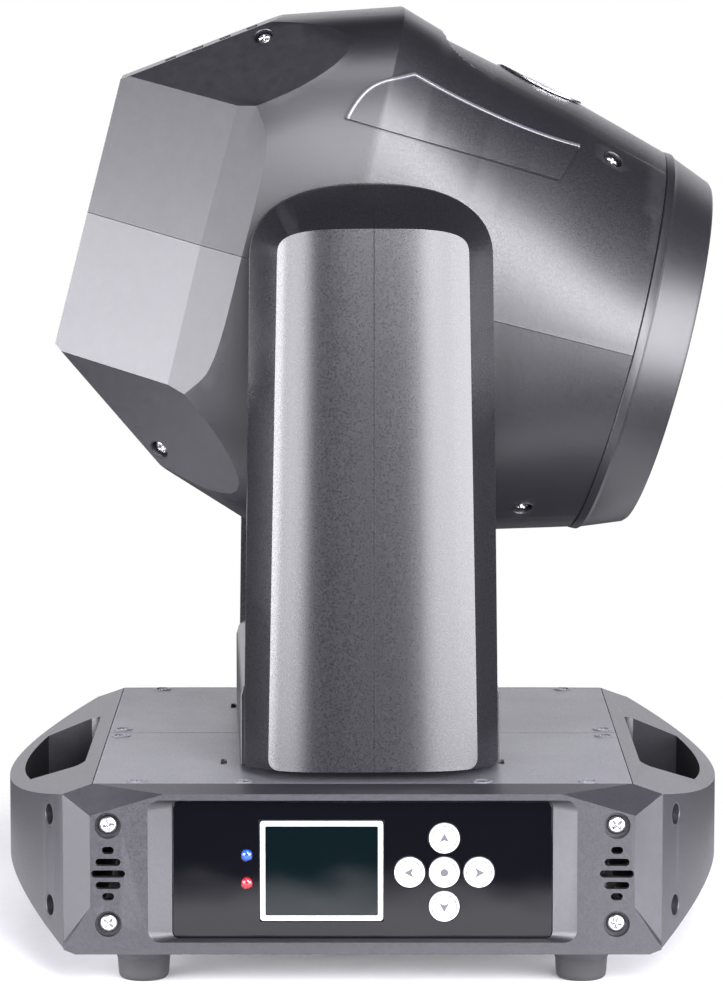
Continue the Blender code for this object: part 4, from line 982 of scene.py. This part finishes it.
def barrel_point(u, angle):
    """A point on the barrel at an angle from the top, with the sunk strip."""
    height, depth, half_width, exponent = station(u)
    sine = math.sin(math.radians(angle))
    cosine = math.cos(math.radians(angle))
    reach = abs(sine / half_width) ** exponent + abs(cosine / height) ** exponent
    radius = reach ** (-1 / exponent)
    from_top = abs((angle + 90) % 180 - 90)
    across = from_top / STRIP_ANGLE
    behind = max(0.0, (STRIP_FADE - u) / (STRIP_FADE - STRIP_REAR))
    edge = (across ** 5 + behind ** 5) ** 0.2
    radius -= depth * smooth_step((1.0 - edge) / 0.045)
    radius -= DRAFT * radius * abs(cosine) * sine ** 2
    to_plane = CHAMFER.dot(CHAMFER_CORNER) - CHAMFER.x * u
    chamfer = to_plane / (CHAMFER.y * abs(sine) + CHAMFER.z * abs(cosine))
    on_side = smooth_step((abs(sine) - 0.68) / 0.2)
    radius += (soft_minimum(radius, chamfer + 0.03, 12.0) - radius) * on_side
    return Vector((u, radius * sine, radius * cosine))


def barrel_side(u, v, lift=0.0):
    """Distance of the barrel's side from its middle plane at a height v, and a lift more."""
    height, _, half_width, exponent = station(u)
    side = half_width * (1 - min(1.0, abs(v) / height) ** exponent) ** (1 / exponent)
    radius = math.hypot(side, v)
    return side - DRAFT * abs(v) * (side / radius) ** 3 + lift


def barrel_angles():
    """Angles round the barrel, closer together where the strip's edges are."""
    quarter = []
    angle = 0.0
    while angle < 90.0:
        quarter.append(angle)
        angle += 0.65 if 19.0 <= angle <= 27.5 else 2.0
    half = quarter + [90.0] + [180 - a for a in reversed(quarter)]
    return half + [360 - a for a in reversed(half[1:-1])]


def barrel_stations():
    """Places along the barrel, closer together at the strip's rear end."""
    places = [BARREL_REAR + 5.0 * step for step in range(27)]
    places += [SLOPE_TOP[0], -18.0, RIDGE_U, -13.0, -8.0, -2.0, 3.0, 6.0]
    places.sort()
    u = 7.5
    while u < STRIP_FADE:
        places.append(u)
        u += 1.5
    while u < SEAM_U - 2:
        places.append(u)
        u += 6.0
    return places + [SEAM_U]


def facet_planes(up):
    """Points and normals of the flat facets that cut the rear of one half of the barrel."""
    planes = [((REAR_U, 0, 0), (-1, 0, 0)),
              ((REAR_U, 0, up * REAR_HALF_V),
               (REAR_HALF_V - SLOPE_TOP[1], 0, up * (SLOPE_TOP[0] - REAR_U)))]
    corners = [(REAR_U, REAR_HALF_W), FACET_EDGE, FACET_FRONT]
    for side in SIDES:
        for (u0, w0), (u1, w1) in zip(corners, corners[1:]):
            normal = Vector((w0 - w1, side * (u1 - u0), 0)).normalized()
            normal.z = up * DRAFT
            planes.append(((u0, side * w0, 0), normal))
        mirror = Vector((1, side, up))
        planes.append((CHAMFER_CORNER * mirror, CHAMFER * mirror))
    return planes


def head_screw_places(up):
    """Where the casing screws sit, and which way they point."""
    places = []
    u, v = CASING_SCREW
    along = Vector((4.0, barrel_side(u + 2, v) - barrel_side(u - 2, v), 0))
    round_it = Vector((0, barrel_side(u, v + 2) - barrel_side(u, v - 2), 4.0))
    outward = round_it.cross(along).normalized()
    outward *= math.copysign(1, outward.y)
    flat = FLAT_SCREW - CHAMFER * (FLAT_SCREW - CHAMFER_CORNER).dot(CHAMFER)
    for side in SIDES:
        mirror = Vector((1, side, up))
        places.append((flat * mirror, CHAMFER * mirror))
        places.append((Vector((u, barrel_side(u, v), v)) * mirror, outward * mirror))
    return places


def head_shell(label, up):
    """Half of the head's casing with its facets, vents, strip and screw holes."""
    angles = barrel_angles()
    bm = bmesh.new()
    rings = [[barrel_point(u, angle) for angle in angles] for u in barrel_stations()]
    add_loft(bm, rings)
    front = [face for face in bm.faces if len(face.verts) > 4 and face.calc_center_median().x > SEAM_U - 1]
    bmesh.ops.recalc_face_normals(bm, faces=bm.faces[:])
    for point, normal in facet_planes(up):
        slice_off(bm, point, normal)
    bmesh.ops.recalc_face_normals(bm, faces=bm.faces[:])
    bmesh.ops.delete(bm, geom=front, context="FACES_ONLY")
    slice_off(bm, (0, 0, up * SPLIT_GAP), (0, 0, -up), fill=False)
    for edge in bm.edges:
        on_flat = any(len(face.verts) > 4 and face.calc_area() > 300 for face in edge.link_faces)
        if on_flat and edge.calc_face_angle(math.pi) > math.radians(9.0):
            edge.smooth = False
    obj = piece(f"head_{label}_casing", bm, CASING, "head", "casing", HEAD, f"head_{label}_shell",
                0, False)
    solidify(obj, SHELL_WALL)
    bm = bmesh.new()
    add_cylinder(bm, 25.0, -130, 130, towards((0, 1, 0), (0, 0, 0)), 64)
    add_box(bm, (REAR_U - 5, -32, -52), (REAR_U + 8, 32, 52))
    climb = Vector((SLOPE_TOP[0] - REAR_U, 0, up * (SLOPE_TOP[1] - REAR_HALF_V)))
    turn = Matrix.Rotation(-math.atan2(climb.z, climb.x), 4, "Y")
    for index in range(4):
        spot = Vector((REAR_U, 0, up * REAR_HALF_V)) + climb * (0.3 + 0.5 * index / 3)
        shape = Matrix.Translation(spot) @ turn @ Matrix.Diagonal((6.0, 60.0, 16.0, 1.0))
        bmesh.ops.create_cube(bm, size=1.0, matrix=shape)
    for spot, outward in head_screw_places(up):
        add_cylinder(bm, HEAD_SCREW_RADIUS, -9, 9, towards(outward, spot))
    carve(obj, bm, HEAD)
    bevel(obj, 0.9, 3, 9.0)
    weighted = obj.modifiers.new("even_flats", "WEIGHTED_NORMAL")
    weighted.keep_sharp = False
    for index, (spot, outward) in enumerate(head_screw_places(up)):
        recessed_screw(f"head_{label}_screw_{index}", HEAD_SCREW_RADIUS, towards(outward, spot), "head",
                       CASING, HEAD_SCREW_SUNK, 0.6, HEAD)


def bead(name, path, radius, finish, body, slot, place):
    """A thin round bead along a path."""
    bm = bmesh.new()
    rings = []
    for index, spot in enumerate(path):
        ahead = path[min(index + 1, len(path) - 1)]
        behind = path[max(index - 1, 0)]
        turn = towards(ahead - behind, spot)
        rings.append([turn @ Vector((radius * math.cos(step * math.pi / 6),
                                     radius * math.sin(step * math.pi / 6), 0)) for step in range(12)])
    add_loft(bm, rings)
    piece(name, bm, finish, body, slot, place, sharp_deg=60.0)


def blade(label, side):
    """A raised blade on the barrel's side: straight below, arched then hollow above."""
    columns = 90
    rows = 10

    def lower(share):
        return Vector((BLADE_REAR + 112 * share, 80 - 4 * share))

    def upper(share):
        u = BLADE_REAR + (BLADE_TIP - BLADE_REAR) * share
        if u < BLADE_PEAK:
            climb = (u - BLADE_REAR) / (BLADE_PEAK - BLADE_REAR)
            return Vector((u, 82 + 28 * (0.5 * climb + 0.5 * (1 - (1 - climb) ** 6))))
        fall = (u - BLADE_PEAK) / (BLADE_TIP - BLADE_PEAK)
        return Vector((u, 95 + 15 * (1 - fall) ** 1.7))

    bm = bmesh.new()
    grid = []
    for column in range(columns + 1):
        share = column / columns
        line = []
        for row in range(rows + 1):
            spot = lower(share).lerp(upper(share), row / rows)
            line.append(bm.verts.new((spot.x, side * barrel_side(spot.x, spot.y, 0.25), spot.y)))
        grid.append(line)
    skin(bm, grid, False)
    face_out(bm, 1, side)
    obj = piece(f"{label}_blade", bm, CASING, "head", "trim", HEAD, f"{label}_blade_trim", 50.0, False)
    solidify(obj, 2.4, 1)
    bevel(obj, 0.7, 3, 40.0)
    path = [lower(0.0).lerp(upper(0.0), row / 6) for row in range(1, 6)]
    path += [upper(column / columns) for column in range(columns + 1)]
    path = [Vector((spot.x, side * barrel_side(spot.x, spot.y, 2.5), spot.y)) for spot in path]
    # The bead's paler colour paints the highlight along the blade's upper edge.
    bead(f"{label}_blade_bead", path, 1.3, BEAD_PAINTED_HIGHLIGHT, "head", "trim", HEAD)


def badge_sheet(bm, inner, outer, rings, dome):
    """An open sheet that follows the top strip between two radii, and domed."""
    rows = []
    for ring in range(0 if inner else 1, rings + 1):
        radius = inner + (outer - inner) * ring / rings
        line = []
        for spoke in range(72):
            angle = 2 * math.pi * spoke / 72
            u = BADGE_U + radius * math.cos(angle)
            w = radius * math.sin(angle)
            height, depth, half_width, exponent = station(u)
            level = height * (1 - min(1.0, abs(w) / half_width) ** exponent) ** (1 / exponent) - depth
            rise = 0.3 + dome * (1 - (radius / BADGE_RADIUS) ** 2)
            line.append(bm.verts.new((u, w, level + rise)))
        rows.append(line)
    skin(bm, rows, True)
    if not inner:
        height, depth = station(BADGE_U)[:2]
        middle = bm.verts.new((BADGE_U, 0, height - depth + 0.3 + dome))
        for i, vert in enumerate(rows[0]):
            bm.faces.new((middle, vert, rows[0][(i + 1) % 72]))


def badge():
    """The blank silver badge, domed, in a rim on the top strip."""
    for name, inner, outer, rings, dome, replaced in (
            ("badge_disc", 0.0, BADGE_RADIUS, 14, BADGE_DOME, "badge"),
            ("badge_rim", BADGE_RADIUS + 0.2, 24.0, 3, 0.0, None)):
        bm = bmesh.new()
        badge_sheet(bm, inner, outer, rings, dome)
        face_out(bm, 2, 1)
        obj = piece(name, bm, BADGE, "head", "badge_metal", HEAD, replaced, 50.0, False)
        solidify(obj, 1.2, 1)
        bevel(obj, 0.35, 3, 40.0)


def front_ring():
    """The lens ring: a bead at the seam, a cone and a rounded rim."""
    profile = [(87.0, RIM_U - 1.2), (88.0, RIM_U - 0.3), (89.6, RIM_U), (91.0, RIM_U - 0.4),
               (92.4, RIM_U - 1.8), (100.2, 143.6), (100.9, 142.6), (101.3, 142.2), (101.8, 141.6),
               (102.0, 140.6), (102.0, SEAM_U + 0.8), (101.5, SEAM_U + 0.3), (95.0, SEAM_U + 0.3),
               (80.0, 145.0), (80.0, 149.0), (85.0, 149.0), (85.2, 158.0)]
    turned_piece("front_lens_ring", profile, 160, towards((1, 0, 0), (0, 0, 0)), CASING, "head", "casing",
                 HEAD, "front_ring", 24.0)


def front_lens():
    """The smooth front lens."""
    profile = [(3.5 * step, 158.5 - 5.0 * (step / 24) ** 2) for step in range(25)]
    profile += [(84.0, 149.5), (0, 149.5)]
    turned_piece("front_lens_glass", profile, 128, towards((1, 0, 0), (0, 0, 0)), GLASS, "head",
                 "lens_glass", HEAD, "front_lens", 40.0)


def build_head():
    """Replace and dress everything on the head."""
    head_shell("upper", 1)
    head_shell("lower", -1)
    for label, side in (("front", -1), ("rear", 1)):
        blade(label, side)
    badge()
    front_ring()
    front_lens()
    dress_cad_node("rear_vent_panel", TRIM, 0.3)


# ---- inside, and the set

FLOOR_FADE = (0.34, 0.46)
LIGHT_TINT = (0.95, 0.94, 1.0)
SURROUND = 0.08


def dress_the_rest():
    """Every CAD node that is still shown as it was packed gets its slot's material."""
    slots = {entry["node"]: entry["material_slot"] for entry in frame["record"]["subparts"]}
    for name, obj in NODES.items():
        if obj.modifiers or obj.hide_render:
            continue
        dress_cad_node(name, SLOT_MATERIALS[slots[name]], 0.2)


def floor():
    """A pale round of paper under the light that fades into the white surround."""
    bm = bmesh.new()
    bmesh.ops.create_grid(bm, x_segments=2, y_segments=2, size=1200.0)
    look = Look("floor_paper")
    look.colour(look.noise(40.0, 4.0, 0.6), (0.86, 0.86, 0.87), (0.90, 0.90, 0.90))
    look.put("Roughness", 0.9)
    distance = look.add("VectorMath")
    distance.operation = "LENGTH"
    look.link(look.add("TexCoord").outputs["Object"], distance.inputs[0])
    fade = look.add("MapRange", From_Min=FLOOR_FADE[0], From_Max=FLOOR_FADE[1], To_Min=1.0, To_Max=0.0)
    fade.interpolation_type = "SMOOTHSTEP"
    look.link(distance.outputs["Value"], fade.inputs["Value"])
    look.link(fade.outputs["Result"], look.shader.inputs["Alpha"])
    obj = bpy.data.objects.new("floor", to_mesh("floor", bm))
    obj.data.materials.append(look.material)
    obj.location = (0, 0, -0.0002)
    bpy.context.scene.collection.objects.link(obj)


def softbox(name, azimuth, elevation, distance, width, height, radiance, target_z=0.26):
    """A rectangular softbox aimed at the middle; azimuth 0 is the camera's side, + towards +X."""
    light = bpy.data.lights.new(name, "AREA")
    light.shape = "RECTANGLE"
    light.size = width
    light.size_y = height
    light.energy = radiance * math.pi * width * height
    light.color = LIGHT_TINT
    obj = bpy.data.objects.new(name, light)
    turn = math.radians(azimuth)
    lift = math.radians(elevation)
    away = Vector((math.sin(turn) * math.cos(lift), -math.cos(turn) * math.cos(lift), math.sin(lift)))
    obj.location = Vector((0, 0, target_z)) + away * distance
    obj.rotation_euler = away.to_track_quat("Z", "Y").to_euler()
    bpy.context.scene.collection.objects.link(obj)


def lighting():
    """Softboxes at the sides, in front and behind, and a surround that only the camera sees as white."""
    softbox("left_box", -74, 0, 1.4, 0.9, 0.8, 15.0, 0.24)
    softbox("left_strip", -56, 0, 1.4, 0.16, 0.8, 26.0, 0.22)
    softbox("left_front_box", -34, 0, 1.4, 0.7, 0.7, 13.0, 0.22)
    softbox("right_box", 68, 0, 1.4, 1.0, 0.8, 15.0, 0.26)
    softbox("right_mid_box", 32, 0, 1.4, 0.85, 0.8, 14.0, 0.24)
    softbox("high_front_box", 13, 15, 1.4, 0.56, 0.55, 24.0, 0.34)
    softbox("top_front_box", 3, 54, 1.9, 1.3, 0.6, 8.0)
    softbox("backdrop", 180, 14, 1.7, 2.6, 1.4, 1.5)
    world = bpy.data.worlds.new("studio")
    bpy.context.scene.world = world
    world.use_nodes = True
    tree = world.node_tree
    background = tree.nodes["Background"]
    background.inputs["Color"].default_value = (1, 1, 1, 1)
    rays = tree.nodes.new("ShaderNodeLightPath")
    strength = tree.nodes.new("ShaderNodeMapRange")
    strength.inputs["To Min"].default_value = SURROUND
    tree.links.new(rays.outputs["Is Camera Ray"], strength.inputs["Value"])
    tree.links.new(strength.outputs["Result"], background.inputs["Strength"])


def camera():
    """A long lens slightly above the light's middle."""
    data = bpy.data.cameras.new("camera")
    data.sensor_width = 36.0
    data.lens = 158.67
    data.shift_x = -0.001
    data.clip_end = 50.0
    obj = bpy.data.objects.new("camera", data)
    obj.location = (0.0, -2.308, 0.507)
    obj.rotation_euler = (math.radians(90 - 6.845), 0, 0)
    bpy.context.scene.collection.objects.link(obj)
    bpy.context.scene.camera = obj


def main():
    """Build everything."""
    build_base()
    build_yoke()
    build_head()
    dress_the_rest()
    floor()
    lighting()
    camera()
    bpy.context.scene.view_settings.view_transform = "Standard"


main()
